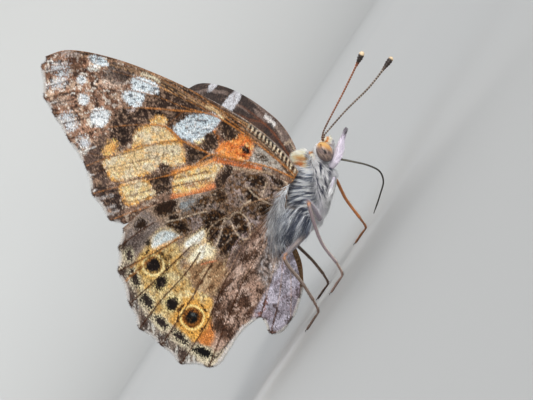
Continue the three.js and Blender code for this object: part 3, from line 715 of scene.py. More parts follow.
def fore_veins(art, veins):
    """Veins, and thin brown lines of painted shade in the folds between them."""
    gold, rust, brown = (176, 112, 54), (158, 104, 56), (128, 88, 60)
    vein_lines(art, veins[1:-1], [(20.5, brown), (14.5, rust), (7.5, gold), (-9, (140, 104, 76))], 0.035)
    for k in (5, 6, 8):
        line = curve(veins[k], 70)[:46]
        art.stroke(np.stack(sheet(*line.T), axis=1), gold, 0.08, 0.06, 0.06, 0.75, straight=True)
    art.stroke([(-3.6, 15.6), (-2.4, 15.3), (-1.2, 15)], (120, 76, 42), 0.07, strength=0.7)
    art.stroke([(-4.0, 13.1), (-3.75, 14.4), (-3.6, 15.7)], gold, 0.11)
    # painted shade in the folds between the veins
    for points in ([(-12.5, 19.8), (-9.4, 17), (-6.7, 14.4), (-5.4, 13.4)],
                   [(-10.8, 21.6), (-9.7, 19), (-7, 16.4)], [(-12, 16.8), (-9.6, 14.6), (-7.2, 12.2)],
                   [(-12.4, 15.1), (-11.2, 14), (-10, 13)], [(-13.3, 15.2), (-11.6, 13.4), (-10.2, 12.4)]):
        art.stroke(points, (92, 62, 42), 0.045, 0.05, 0.06, 0.85)


def forewing_under(p, q, veins):
    """Lower face of the forewing, as in the photo."""
    art = Paint(p, q, (122, 96, 80), 5)
    art.mottles(ALL_OVER, ((64, 48, 40), 0.4, 0.34, 0.75), ((190, 172, 154), 0.34, 0.16, 0.7),
                slant=FORE_GRAIN)
    for coat in (fore_tip, fore_smoke, fore_bands, fore_panels, fore_stripes, fore_cell_root, fore_root,
                 fore_front, fore_dark_patches, fore_white, fore_folds):
        coat(art)
    fore_veins(art, veins)
    art.mottle((180, 150, 128), 0.24, 0.08, ALL_OVER, 0.4)
    return art


def hind_ground(art):
    """Outer border: pale, then yellow ground behind the eyespots, orange toward the tail corner."""
    regions = (
        ([(-15.5, 14), (-17, 12.2), (-18.6, 11), (-19.6, 9.6), (-20.6, 8.2), (-21.6, 6), (-22.2, 3.6),
          (-22.2, 1), (-22, -1), (-21.2, -2.6), (-17, -2.9), (-15, -3.4), (-16, -4.4), (-25.5, -4), (-26, 6),
          (-22, 12)],
         (206, 196, 178), 0.3, 1),
        ([(-14.2, 10.2), (-16.2, 10.3), (-18, 10.4), (-19.4, 9.8), (-20.2, 8.4), (-21.2, 6.6), (-21.8, 4.6),
          (-21.9, 3.1), (-17, 3.1), (-15.9, 4.4), (-15.6, 6.2), (-13.8, 6.6), (-13.6, 8.2)], (202, 182, 140),
          0.3, 1),
        ([(-20.8, 3.9), (-18, 4.2), (-16.6, 3.4), (-17, 3.1), (-21.6, 3.1)], (214, 176, 110), 0.3, 0.8),
        ([(-21.6, 3.1), (-21.7, 1), (-21.2, -0.2), (-19, -0.2), (-17.6, 0.6), (-16.6, 0.7), (-16.4, 2),
          (-16.9, 3.1)],
         (224, 182, 112), 0.25, 1),
        ([(-21.4, 0.2), (-21.3, -1.2), (-20.2, -1.7), (-19, -1), (-18.4, 0.1), (-20, 0.4)], (212, 148, 86),
         0.3, 0.85),
        ([(-17.6, 2.8), (-16.6, 2.9), (-16.4, 1.2), (-17.6, 0.9)], (236, 206, 150), 0.25, 0.8),
        ([(-21, -1.5), (-19.6, -1.3), (-17, -0.2), (-14, 0.2), (-12, -2), (-15, -3), (-20.6, -2.7)],
         (196, 172, 158), 0.4, 0.85),
        ([(-16.4, 3.2), (-15.8, 5.4), (-15, 6), (-13.6, 4.3), (-12.2, 3.6), (-12, 1.4), (-16.4, 0.8)],
         (170, 143, 115), 0.35, 1),
    )
    for outline, rgb, soft, strength in regions:
        art.patch(outline, rgb, soft, 0.4, strength)
    yellow = art.inside([(-13.8, 10.4), (-19.8, 9.8), (-22, 4.6), (-21.5, 0), (-16.6, 0.4), (-16, 4),
                         (-13.8, 7)], 0.4)
    art.mottles(yellow, ((240, 228, 192), 0.6, 0.28, 0.7), ((206, 160, 88), 0.6, 0.24, 0.45),
                ((118, 94, 68), 0.26, 0.24, 0.55))
    middle = art.inside([(-17, 0.6), (-16.2, 5.6), (-13, 4.6), (-11.8, 3.4), (-11.8, 1.2)], 0.4)
    art.mottles(middle, ((110, 82, 58), 0.36, 0.3, 0.75), ((222, 202, 172), 0.4, 0.2, 0.65), slant=HIND_GRAIN)


def hind_field(art):
    """Brown and grey field between the white panels and the front edge."""
    for outline, rgb in (
        ([(-12.4, 12.8), (-13.8, 13.2), (-16.4, 12.9), (-18.4, 11), (-16.4, 10.5), (-14.6, 10.6),
          (-12.6, 10.2)],
         (152, 141, 135)),
        ([(-10.3, 9.9), (-9.4, 9.9), (-8.2, 8.6), (-6.8, 7.6), (-6.3, 6.8), (-7.4, 6.4), (-8.8, 7),
          (-10, 8.4)],
         (146, 150, 152)),
        ([(-4.4, 7.4), (-3, 6), (-1.6, 3.6), (-1.4, 1.6), (-2.2, 1.6), (-2.6, 4.4), (-3.6, 6.2)],
         (158, 148, 146)),
        ([(-11.6, 7.6), (-11, 8.8), (-9.8, 8.6), (-8.6, 7), (-9.9, 6.6)], (132, 114, 98)),
        ([(-8.2, 5.6), (-6.6, 6.6), (-4.6, 5.6), (-4.8, 4.2), (-6.6, 4.9)], (164, 146, 136)),
    ):
        art.patch(outline, rgb, soft=0.3, rough=0.5)


def hind_dark_patches(art):
    """Dark patches of the root half, each in a thin pale line."""
    dark = (72, 55, 42)
    patches = [
        [(-12.3, 9.8), (-11.2, 10.2), (-10.7, 9.6), (-11.2, 8.8), (-11.3, 8), (-11.7, 7.2), (-12.4, 7.5),
         (-12.6, 8.8)],
        [(-12.2, 11.6), (-11, 11.9), (-9.8, 11), (-9.6, 10.2), (-10.8, 9.9), (-11.8, 10.4)],
        [(-9, 7), (-8.1, 6.1), (-7.7, 4.9), (-8.8, 4.6), (-10, 4.5), (-11.4, 4.2), (-12.4, 4.3), (-11.5, 5.4),
         (-10.2, 6.3)],
        [(-9.3, 4.4), (-8.9, 3.9), (-9.3, 2.9), (-9.2, 2), (-10.2, 2.1), (-11.6, 2.5), (-12.1, 3.3),
         (-10.9, 3.9)],
        [(-3.4, 5.8), (-2.1, 3.8), (-3.2, 3.1), (-3.9, 4.5)],
        [(-4.5, 5), (-3.9, 3.4), (-4.8, 2.6), (-5.4, 3.7)],
        [(-5.1, 2.7), (-4.4, 1.4), (-5.5, 0.9), (-6, 1.9)],
        [(-6.5, 7.7), (-5.9, 6.5), (-6.7, 5.6), (-7.4, 6.8)],
        [(-1.8, 3.6), (-1.4, 2.1), (-2, 1.2), (-2.4, 2.6)],
        [(-13.2, 12.6), (-14.6, 12.7), (-14.6, 11.6), (-13.4, 11.4)],
        [(-8.8, 8.4), (-7.8, 8.3), (-7.4, 7.2), (-8.6, 7.2)],
    ]
    root = art.inside([(-12.8, 7.6), (-12.8, 1.6), (-6, 0.2), (-1, 0.2), (-3, 7.6), (-7, 8.6)], 0.5, 0.8)
    art.lay(root, (152, 136, 128), 0.8)
    art.mottles(root, ((182, 170, 168), 1.3, 0.4, 0.7), ((122, 98, 76), 0.9, 0.3, 0.7))
    for outline in patches:
        shell = signed_distance(art.wp, art.wq, rounded(outline))[0]
        art.lay(art.edge(np.abs(shell - 0.2) - 0.07, 0.07, 0.1), (176, 158, 138), 0.55)
        art.patch(outline, dark, soft=0.12, rough=0.5)
    art.spot(-8.1, 3.0, 0.62, dark, rq=1.2, turn=-22)
    roots = art.inside([(-12.8, 12.4), (-12.6, 1.4), (-6, 0.6), (-1, 0.6), (-3, 7.6), (-8, 7.6)], 0.4)
    art.mottles(roots, ((32, 24, 20), 0.3, 0.22, 0.75), ((132, 102, 70), 0.26, 0.22, 0.65),
                ((190, 176, 162), 0.26, 0.08, 0.6))
    band = art.inside([(-13, 1.6), (-9.7, 2), (-7.4, 1.3), (-5, 0.6), (-5.3, 0.1), (-7.5, 0.4), (-9.6, 0.9),
                       (-13, 0.6)], 0.2)
    art.lay(band, (82, 64, 62), 0.75)
    for points in (
        [(-11.3, 5.5), (-9.7, 5.4), (-8.4, 4.8), (-8.2, 4.3)],
        [(-8.4, 4.8), (-10.5, 4.1), (-12.4, 3.8)],
        [(-8.2, 4.3), (-7.5, 4.4), (-7, 3.9), (-7.1, 2.9), (-7.8, 1.9), (-8.7, 1.5), (-9.2, 1.9), (-9, 3),
         (-8.2, 4.3)],
        [(-1.8, 4.3), (-1.4, 2.7), (-1.6, 1.1), (-2.2, 0.3)],
        [(-4.1, 5), (-4.5, 3.4), (-4.3, 0.9)],
        [(-2.7, 3.3), (-4, 2.9)],
        [(-12.1, 9.9), (-11, 8.8), (-10.2, 8.2), (-8.8, 6.9)],
        [(-6.9, 3.8), (-6, 4), (-5.2, 3.6)],
    ):
        art.stroke(points, (214, 198, 178), 0.06, 0.06, strength=0.85)
    art.stroke([(-12.8, 1.8), (-9.7, 2.3), (-6.5, 1.3), (-4.6, 0.9)], (188, 168, 164), 0.05, 0.06, 0.1, 0.7)


def hind_panels(art):
    """White panels."""
    p, q = art.p, art.q
    white = 0
    for outline, rgb in (
        ([(-15.9, 9.4), (-15, 10.2), (-13.9, 10.4), (-12.8, 9.8), (-12.4, 8.2), (-12.9, 7.6), (-14.2, 8.3),
          (-15.2, 9.1)], (220, 227, 227)),
        ([(-13.9, 6.5), (-13.2, 7.3), (-11.3, 6.5), (-10.4, 6.1), (-11.2, 5.1), (-12.9, 5.8)],
         (234, 234, 226)),
        ([(-14.8, 5.7), (-13.3, 5.9), (-11.5, 5.1), (-11.8, 3.8), (-12.7, 3.3), (-13.4, 4.3), (-14.6, 5)],
         (236, 228, 206)),
    ):
        art.patch(outline, (226, 206, 170), soft=0.25, rough=0.5)
        inner = art.inside(outline)
        art.lay(ramp(-signed_distance(p, q, rounded(outline))[0], 0, 0.45) * inner, rgb)
        white = white + inner
    white = np.clip(white, 0, 1)
    art.mottle((246, 244, 236), 0.5, 0.24, white, 0.6, slant=PANEL_GRAIN)
    art.mottle((168, 160, 146), 0.24, 0.14, white, 0.55)
    for cp, cq, rp, rq, turn, rgb in ((-15.3, 10.3, 0.34, 0.34, 0, (54, 46, 42)),
                                      (-16.8, 11.6, 0.9, 0.45, -35, (112, 98, 92)),
                                      (-15.2, 11.6, 0.7, 0.35, -20, (126, 110, 104)),
                                      (-18.3, 10.9, 0.4, 0.25, -40, (120, 104, 98))):
        art.spot(cp, cq, rp, rgb, rq=rq, turn=turn, rough=0.5, strength=0.85)


def hind_border(art):
    """Border: white and grey rays, brown checks at the vein ends, lunules in pale yellow."""
    rim = art.inside([(-18.8, 11.4), (-20.2, 9.3), (-21.3, 7.8), (-22.3, 5.6), (-22.7, 3.6), (-22.8, 1),
                      (-22.8, -1.4), (-26, -3), (-26, 6), (-22, 12.5)], 0.15)
    art.lay(rim, (140, 128, 122), 0.8)
    art.mottles(rim, ((224, 222, 216), 0.5, 0.3, 0.8), ((84, 72, 68), 0.45, 0.24, 0.75), slant=RIM_GRAIN)
    for cp, cq, rp, rq, turn in ((-17, 12.4, 0.6, 0.4, 30), (-19.3, 10.9, 0.7, 0.45, 30),
                                 (-21, 8.6, 0.65, 0.5, 25), (-22.5, 6.0, 0.6, 0.5, 15),
                                 (-22.9, 3.3, 0.55, 0.6, 0), (-23.3, 0.6, 0.6, 0.6, 0),
                                 (-21, 10.1, 0.4, 0.25, 40), (-22.2, 8, 0.35, 0.25, 30),
                                 (-23.6, 3.6, 0.3, 0.5, 0), (-24.2, 0.4, 0.3, 0.5, 0)):
        art.spot(cp, cq, rp, (92, 76, 70), rq=rq, turn=turn, soft=0.2, rough=0.7, strength=0.85)
    for cp, cq, rp, rq, turn, rgb in (
        (-19.2, 9.5, 0.44, 1.1, -36, (74, 64, 60)), (-20.6, 7.0, 0.52, 1.0, -26, (72, 64, 60)),
        (-21.7, 4.5, 0.46, 1.1, -5, (76, 66, 64)), (-21.95, 1.8, 0.42, 1.15, -10, (70, 60, 58)),
        (-21.9, -1.1, 0.54, 1.2, 14, (36, 28, 26)), (-17.5, 11.3, 0.36, 0.7, -50, (96, 84, 80)),
    ):
        art.spot(cp, cq, rp + 0.22, (230, 222, 196), rq=rq + 0.22, turn=turn, soft=0.15, strength=0.75)
        art.spot(cp, cq, rp, rgb, rq=rq, turn=turn, soft=0.12, rough=0.5)


def dots(art, cp, cq, radius, width, share, rgb):
    """A ring of loose dots."""
    ring = art.edge(np.abs(art.oval(cp, cq, radius)) - width, 0.06, 0.15)
    art.mottle(rgb, 0.32, share, ring, 0.9, soft=0.03)


def hind_eyespots(art):
    """Eyespots, from the front edge to the rear."""
    front, rear = (-17, 8.5), (-19.4, 1.9)
    art.spot(*front, 1.75, (206, 176, 118), strength=0.75, soft=0.25, rough=0.5)
    dots(art, *front, 1.5, 0.2, 0.42, (70, 54, 42))
    art.ring(*front, 1.1, (236, 222, 178), 0.13, strength=0.9)
    art.ring(*front, 0.94, (138, 110, 76), 0.07, strength=0.8)
    art.spot(*front, 0.84, (50, 40, 36))
    art.mottle((112, 100, 92), 0.24, 0.2, art.edge(art.oval(*front, 0.76), 0.1, 0.2), 0.7)
    art.spot(-15.6, 7.9, 0.3, (92, 74, 52), rq=0.5, turn=20, rough=0.7, strength=0.75)
    for cp, cq, rp, rq in ((-18.1, 6.75, 0.84, 0.6), (-19.4, 4.5, 0.76, 0.74)):
        art.spot(cp, cq, rp + 0.2, (240, 226, 178), rq=rq + 0.2, strength=0.6)
        art.spot(cp, cq, rp, (50, 42, 38), rq=rq, rough=0.4)
        art.mottle((120, 108, 98), 0.24, 0.2, art.edge(art.oval(cp, cq, rp, rq), 0.1, 0.2), 0.6)
    art.mottle((96, 66, 44), 0.3, 0.4, art.edge(art.oval(-19.4, 3.6, 0.9, 0.3), 0.1, 0.3), 0.8)
    art.spot(*rear, 1.85, (224, 180, 110), soft=0.25)
    dots(art, *rear, 1.6, 0.15, 0.42, (70, 44, 32))
    art.ring(*rear, 1.24, (246, 222, 166), 0.13)
    art.spot(*rear, 1.08, (158, 112, 62))
    art.ring(*rear, 0.98, (96, 62, 40), 0.05, strength=0.8)
    art.spot(-19.4, 1.95, 0.7, (32, 25, 22))
    art.mottle((120, 96, 66), 0.24, 0.2, art.edge(art.oval(-19.4, 1.95, 0.76), 0.1, 0.2), 0.6)
    art.spot(-19.05, 2.0, 0.16, (124, 130, 130), rq=0.24, strength=0.6)


def hind_rear(art):
    """Rear half: pink-brown with loose brown patches, then the grey anal field."""
    rear = art.inside([(-18.6, 0), (-16, 1.2), (-9, 1.4), (-4, 1), (-6, -4), (-11, -4), (-16.4, -3.6),
                       (-20, -2.8)], 0.4)
    art.lay(rear, (176, 152, 138), 0.8)
    art.mottles(rear, ((112, 86, 70), 0.8, 0.34, 0.85), ((214, 194, 182), 0.55, 0.22, 0.75), slant=HIND_GRAIN)
    art.mottle((60, 46, 40), 0.26, 0.14, rear, 0.75)
    for cp, cq, rp, rq in ((-18.5, -1.0, 0.75, 0.72), (-18.3, -2.3, 0.5, 0.34), (-16.8, 0.4, 0.7, 0.3),
                           (-16.7, -2.1, 0.35, 0.25), (-14.8, -2.2, 0.5, 0.45), (-14.4, -1.4, 0.5, 0.35),
                           (-12.9, -2.7, 0.32, 0.34), (-10.8, 0.6, 0.6, 0.5), (-9.9, -0.2, 0.8, 0.3),
                           (-7.3, -0.9, 0.4, 0.4), (-15.4, 0.7, 0.6, 0.3), (-12.6, -0.6, 0.7, 0.3),
                           (-16, -0.9, 0.9, 0.4), (-15.8, -3, 0.4, 0.25)):
        art.spot(cp, cq, rp, (84, 62, 48), rq=rq, soft=0.15, rough=0.5, strength=0.9)
    field = art.inside([(-12.2, -2.6), (-11.4, -1), (-9, -0.6), (-6, -0.6), (-5, -3), (-9, -4),
                        (-12.4, -3.6)], 0.4)
    art.lay(field, (150, 142, 138), 0.7)
    art.mottles(field, ((74, 62, 56), 0.3, 0.26, 0.75), ((200, 196, 196), 0.3, 0.2, 0.6))
    lobe = art.inside([(-16.4, -3.4), (-12, -3.2), (-7, -2.6), (-6, -2), (-9, -7), (-14, -8), (-17, -6)], 0.3)
    art.lay(lobe, (160, 156, 165), 0.9)
    art.mottles(lobe, ((208, 204, 214), 0.9, 0.35, 0.6), ((148, 134, 140), 0.6, 0.25, 0.55), slant=LOBE_GRAIN)
    art.mottle((92, 76, 74), 0.24, 0.1, lobe, 0.75)
    art.stroke([(-15.4, -4.4), (-15.7, -5.4), (-15.5, -6.2)], (128, 92, 74), 0.24, 0.2, 0.4, 0.75)
    art.stroke([(-15.4, -6.6), (-13.6, -7), (-11.4, -6.6), (-9.6, -5.9)], (128, 108, 108), 0.12, 0.12, 0.3,
               0.55)
    art.stroke([(-15.8, -3.9), (-14.4, -3.9), (-13, -3.7)], (142, 84, 56), 0.12, 0.1, 0.4, 0.7)
    art.stroke([(-22.6, -2.3), (-20.6, -2.7), (-17.4, -2.75)], (70, 54, 48), 0.1, 0.08, 0.3, 0.85)
    art.stroke([(-21.6, -3), (-19.5, -3.1), (-17, -3.2)], (206, 202, 202), 0.16, 0.1, 0.3, 0.8)


def hind_veins(art, veins):
    """Veins: thin brown lines to the margin, pale where they cross the root."""
    p, q = art.p, art.q
    for vein in veins[1:-1]:
        d, near = line_distance(p, q, sheet_line(vein))
        outer = near[:, 0] < -13
        tone = np.where(outer[:, None], colour(92, 62, 42), colour(190, 160, 132))
        line = art.edge(d - np.where(outer, 0.075, 0.05), 0.05, 0.05)
        art.rgb = blend(art.rgb, line * np.where(outer, 0.9, 0.35), tone)
    for points in ([(-20.3, 10.2), (-16, 8.9), (-13, 7.8)], [(-18.5, 10.4), (-15, 9), (-12.8, 7.7)]):
        art.stroke(points, (196, 146, 92), 0.1, 0.1, 0.2, 0.6)


def hindwing_under(p, q, veins):
    """Lower face of the hindwing, as in the photo."""
    art = Paint(p, q, (160, 142, 128), 9)
    art.mottles(ALL_OVER, ((122, 98, 80), 1.5, 0.42, 0.65), ((196, 182, 168), 0.8, 0.26, 0.6),
                slant=HIND_GRAIN)
    for coat in (hind_ground, hind_field, hind_dark_patches, hind_panels, hind_border, hind_eyespots,
                 hind_rear):
        coat(art)
    hind_veins(art, veins)
    art.rgb = art.rgb**1.42  # all tones deepened
    art.stroke([(-14, 4.1), (-13.4, 3.6), (-12.8, 3.1)], (196, 110, 72), 0.07, 0.07, 0.1, 0.7)
    return art


def forewing_upper(p, q, veins):
    """Upper face of the forewing: orange with black marks and white spots at the tip."""
    art = Paint(p, q, (206, 112, 58), 15)
    art.mottles(ALL_OVER, ((226, 140, 82), 1.5, 0.4, 0.6), ((176, 84, 40), 1.0, 0.22, 0.5))
    art.patch([(2.5, 0), (-6, 0), (-7, 6), (-3.2, 5.6), (-1, 6.4), (2.5, 7.6)], (112, 84, 60), soft=1.2,
              strength=0.9)
    black = (38, 29, 26)
    for outline in (
        [(3, 33), (3, 17.5), (0.5, 17.3), (-2.4, 17.6), (-4.2, 18.6), (-6.8, 19.4), (-9.2, 18.8),
         (-10.6, 17.2), (-12.4, 15.8), (-13.6, 13.4), (-16.5, 12.5), (-17, 16), (-12, 22), (-9, 30)],
        [(2, 17), (0.8, 13.6), (-1.2, 13.8), (-3.4, 14.4), (-4, 15.8), (-2.4, 17.2), (-2, 19), (2, 19)],
        [(1.2, 10.9), (-0.6, 10.8), (-1.6, 9.4), (-1.3, 8.6), (0, 8.6), (1.4, 9)],
        [(-1.6, 10.6), (-3, 11.4), (-4, 12.6), (-6, 12), (-5.4, 10.6), (-3.6, 9.6)],
        [(-5.6, 11.8), (-8, 13.8), (-10.6, 13.8), (-10.2, 11.8), (-8, 10.8)],
        [(0.6, 6.8), (-0.8, 7.3), (-1.4, 6.6), (-0.4, 6)],
    ):
        art.patch(outline, black)
    # front edge: dark brown, with a pale streak near the root that is a painted highlight
    front = np.interp(q, [1, 3, 6, 9, 13, 18, 23, 26, 31], [0.3, 1.0, 1.6, 1.85, 1.75, 1.25, 0.2, -0.8, -4])
    depth = front - p
    art.lay(ramp(3.6 - depth, 0, 0.8), (52, 42, 38), 0.97)
    lines = ramp(noise(depth * 3.2, q * 0.3, 45, 2), 0.5, 0.62)
    art.lay(lines * ramp(2.4 - depth, 0, 0.5), (118, 102, 94), 0.8)
    # painted highlight along the dark front edge
    art.stroke([(1.14, 9.4), (1.15, 10.6), (1.05, 12.2)], (226, 222, 218), 0.2, 0.12, 0.4, 0.9)
    art.stroke([(0.6, 6.4), (1.0, 8.0), (1.1, 9.2)], (150, 134, 122), 0.16, 0.15, 0.5, 0.8)
    art.stroke([(0.9, 3.4), (1.3, 4.6), (0.6, 5.4)], (206, 186, 160), 0.2, 0.2, 0.4, 0.6)
    art.lay((1 - ramp(depth, 0.08, 0.2)) * ramp(28 - q, 0, 2), (132, 112, 100), 0.8)
    white = (188, 188, 192)
    art.patch([(-3.9, 20.8), (-3.2, 21.5), (-1.6, 21.4), (0.1, 21.3), (0.9, 20.4), (0.7, 19), (-0.9, 18.7),
               (-2.6, 19.2), (-3.8, 19.6)], white)
    for cp, cq, rp, rq in ((-0.9, 25.9, 1.1, 0.8), (-4.35, 26.05, 0.42, 0.36), (-5.95, 24.7, 0.5, 0.42),
                           (-6.9, 22.3, 0.92, 0.78)):
        art.spot(cp, cq, rp, white, rq=rq)
    for a, b in (((-4.6, 29.2), (-5.2, 30)), ((-7.2, 28), (-7.8, 28.6)), ((-8.9, 25.3), (-9.5, 25.6)),
                 ((-10.5, 22.4), (-11, 22.7)), ((-12.4, 19.6), (-12.9, 20)), ((-14.2, 17.2), (-14.7, 17.6))):
        art.stroke([a, b], (216, 206, 200), 0.2, strength=0.9, straight=True)
    art.mottle((96, 74, 62), 0.3, 0.14, ALL_OVER, 0.45)
    for vein in veins[3:-1]:
        d, near = line_distance(p, q, sheet_line(vein))
        art.lay(art.edge(d - 0.07, 0.07, 0.1) * ramp(19 - near[:, 1], 0, 3), (104, 60, 38), 0.8)
    return art


def hindwing_upper(p, q, veins):
    """Upper face of the hindwing: orange with rows of black spots and a brown root."""
    art = Paint(p, q, (214, 122, 64), 19)
    art.mottles(ALL_OVER, ((230, 148, 88), 1.5, 0.4, 0.6), ((182, 92, 46), 1.0, 0.22, 0.5))
    art.patch([(-1, 0), (-1, 8), (-9, 12), (-15, 15), (-17, 12.4), (-12.6, 9), (-9.6, 5), (-9.4, 1.4),
               (-14, -1.4), (-18, -4), (-15, -9), (-6, -8)], (128, 100, 74), soft=0.9)
    art.patch([(-9.6, 9), (-11.4, 9.6), (-13, 8.4), (-11, 6.6), (-9.6, 7)], (52, 38, 32), soft=0.3)
    art.patch([(-8.4, 4.6), (-10, 4.8), (-10.2, 3.2), (-8.4, 3.2)], (78, 54, 40), soft=0.3)
    for cp, cq, size in ((-17, 8.5, 0.85), (-18.1, 6.7, 0.6), (-19.5, 4.5, 0.7), (-19.4, 1.9, 0.85),
                         (-18.6, -1, 0.6)):
        art.spot(cp, cq, size, (36, 28, 26))
    for cp, cq, rp, rq, turn in ((-19.3, 9.5, 0.35, 1.0, -36), (-20.7, 7.0, 0.4, 0.95, -26),
                                 (-21.7, 4.5, 0.35, 0.95, -5), (-22, 1.85, 0.38, 1.1, -10),
                                 (-21.8, -1.2, 0.45, 1.0, 14), (-17.4, 11.4, 0.35, 0.8, -50)):
        art.spot(cp, cq, rp, (42, 32, 30), rq=rq, turn=turn)
    for vein in veins[1:-4]:
        line = sheet_line(vein)
        art.lay(art.edge(line_distance(p, q, line)[0] - 0.08, 0.08, 0.1), (120, 72, 44), 0.7)
        tip = line[-1]
        art.spot(tip[0] + 0.35, tip[1], 0.75, (38, 30, 28), rq=0.45, soft=0.2)
    art.mottle((120, 76, 48), 0.3, 0.14, ALL_OVER, 0.4)
    return art


# Wings.
def fringe_shade(outer, tips):
    """0 where a vein meets the margin, 1 half way to the next."""
    run = np.r_[0, np.cumsum(np.linalg.norm(np.diff(outer, axis=0), axis=1))]
    marks = sorted(run[np.argmin(np.linalg.norm(outer - t, axis=1))] for t in tips)
    gap = np.min(np.abs(run[:, None] - np.array(marks)[None]), axis=1)
    return ramp(gap, 0.35, 0.75)


def wing_net(plan):
    """Grid of points over the wing, snapped to its outline, and the cells that lie inside."""
    outline, outer = wing_outline(plan)
    low, high = outline.min(0) - GRID, outline.max(0) + GRID
    nx, ny = np.ceil((high - low) / GRID).astype(int) + 1
    gx, gy = np.meshgrid(low[0] + GRID * np.arange(nx), low[1] + GRID * np.arange(ny), indexing="ij")
    x, up = gx.ravel(), gy.ravel()
    coarse, _ = signed_distance(x, up, outline[::6])
    close = np.abs(coarse) < 0.5
    sd, near = coarse.copy(), np.stack([x, up], axis=1)
    sd[close], near[close] = signed_distance(x[close], up[close], outline)
    snap = np.abs(sd) <= 0.5 * GRID
    x, up = np.where(snap, near[:, 0], x), np.where(snap, near[:, 1], up)
    keep = sd <= 0.5 * GRID
    index = np.arange(nx * ny).reshape(nx, ny)
    a, b, c, d = (
        index[:-1, :-1].ravel(), index[1:, :-1].ravel(), index[1:, 1:].ravel(), index[:-1, 1:].ravel()
    )
    cells = np.stack([a, b, c, d], axis=1)
    count = keep[cells].sum(1)
    quads = cells[count == 4]
    tris = []
    for skip in range(4):
        rest = [k for k in range(4) if k != skip]
        tris.append(cells[(count == 3) & ~keep[cells[:, skip]]][:, rest])
    tris = np.vstack(tris)
    used = np.unique(np.concatenate([quads.ravel(), tris.ravel()]))
    new = np.full(nx * ny, -1)
    new[used] = np.arange(len(used))
    quads, tris = new[quads], new[tris]
    edges = np.vstack([quads[:, [0, 1]], quads[:, [1, 2]], quads[:, [2, 3]], quads[:, [3, 0]],
                       tris[:, [0, 1]], tris[:, [1, 2]], tris[:, [2, 0]]])
    keys = np.sort(edges, axis=1)
    _, first, times = np.unique(keys, axis=0, return_index=True, return_counts=True)
    rim = edges[first[times == 1]]
    return {"x": x[used], "up": up[used], "inset": -np.minimum(sd[used], 0), "quads": quads, "tris": tris,
            "rim": rim, "outer": outer, "outline": outline}


def scale_grain(rgb):
    """Single scales a little lighter or darker than their neighbours, and a few much more so."""
    rng = np.random.default_rng(3)
    change = 0.34 - 0.13 * ramp(rgb.mean(axis=1), 0.1, 0.6)
    shade = np.exp(change * rng.standard_normal(len(rgb)).clip(-1.8, 1.8))
    chance = rng.random(len(rgb))
    shade = shade * np.where(chance < 0.07, 0.5, np.where(chance > 0.94, 1.4, 1.0))
    return np.clip(rgb * shade[:, None], 0.003, 0.95)


def prepare(plan, under, upper):
    """The grid of a wing with its raised veins and the colours of both faces."""
    net = wing_net(plan)
    x, up, outer = net["x"], net["up"], net["outer"]
    nearest = np.full(len(x), 9.0)
    for vein in plan["veins"][1:-1]:
        nearest = np.minimum(nearest, line_distance(x, up, curve(vein, 50))[0])
    net["ridge"] = 0.07 * np.exp(-((nearest / 0.13) ** 2)) - 0.05 * ramp(nearest, 0.1, 1.2)
    net["colours"] = [scale_grain(make(*sheet(x, up), plan["veins"]).rgb) for make in (under, upper)]
    net["light"] = fringe_shade(outer, [np.array(v[-1]) for v in plan["veins"]])
    # a fine edge in the tone of the fringe beside it
    d, near = line_distance(x, up, outer)
    rim = d < 0.35
    at = np.argmin(np.linalg.norm(outer[None, ::2] - near[rim][:, None], axis=2), axis=1) * 2
    edge = np.where(net["light"][at][:, None] > 0.5, colour(206, 200, 196), colour(70, 54, 48))
    for rgb in net["colours"]:
        rgb[rim] = blend(rgb[rim], (1 - ramp(d[rim], 0.06, 0.22)) * 0.7, edge)
    return net


def wing_uv(x, up, outline):
    """The two faces of a wing side by side on the unwrap, first the lower, then the upper."""
    low, high = outline.min(0), outline.max(0)
    size = (high - low).max() * 1.02
    u, v = (x - low[0]) / size * 0.98 + 0.01, (up - low[1]) / size * 0.98 + 0.01
    scale = min(1.0, 0.48 / ((high - low)[0] / size * 0.98))
    return [np.stack([left + (u - 0.01) * scale, v * scale], axis=1) for left in (0.01, 0.51)]


def build_wing(name, net, pose, lift):
    """A thin closed wing: lower face, upper face and the strip between them along the rim."""
    x, up = net["x"], net["up"]
    half = MEMBRANE / 2 * (0.35 + 0.65 * ramp(net["inset"], 0, 0.3))
    base = lift(x, up)
    ripple = 0.05 * (noise(x * 0.9, up * 0.9, 77, 2) - 0.5)
    low = wing_place(x, up, base + half + net["ridge"] + ripple, **pose)
    high = wing_place(x, up, base - half + net["ridge"] * 0.7 + ripple, **pose)
    n = len(x)
    quads, tris, rim = net["quads"], net["tris"], net["rim"]
    strip = np.stack([rim[:, 1], rim[:, 0], rim[:, 0] + n, rim[:, 1] + n], axis=1)
    faces = [quads, tris, quads[:, ::-1] + n, tris[:, ::-1] + n, strip]
    if pose["side"] > 0:
        faces = [f[:, ::-1] for f in faces]
    under_uv, upper_uv = wing_uv(x, up, net["outline"])
    both = np.vstack([under_uv, upper_uv])
    corners = [both[f] for f in faces[:4]] + [under_uv[faces[4] % n]]
    uv = np.vstack([c.reshape(-1, 2) for c in corners])
    piece = make_mesh(name, np.vstack([low, high]), faces, WING, np.vstack(net["colours"]), uv)
    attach(piece, "root")
    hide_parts(name.replace("_scales", ""))


fore = prepare(FOREWING, forewing_under, forewing_upper)
hind = prepare(HINDWING, hindwing_under, hindwing_upper)
for word, pose in (("right", NEAR_WING), ("left", FAR_WING)):
    build_wing(f"forewing_{word}_scales", fore, pose, forewing_lift)
    build_wing(f"hindwing_{word}_scales", hind, pose, hindwing_lift)


# Coat.
BLADE_SEAT = 0.06  # how deep a hair's root lies under the skin
BLADE_TIP = 1.16  # painted light: how much lighter its tip is than its middle
BLADE_UV = 0.0014  # half width of its place on the unwrap


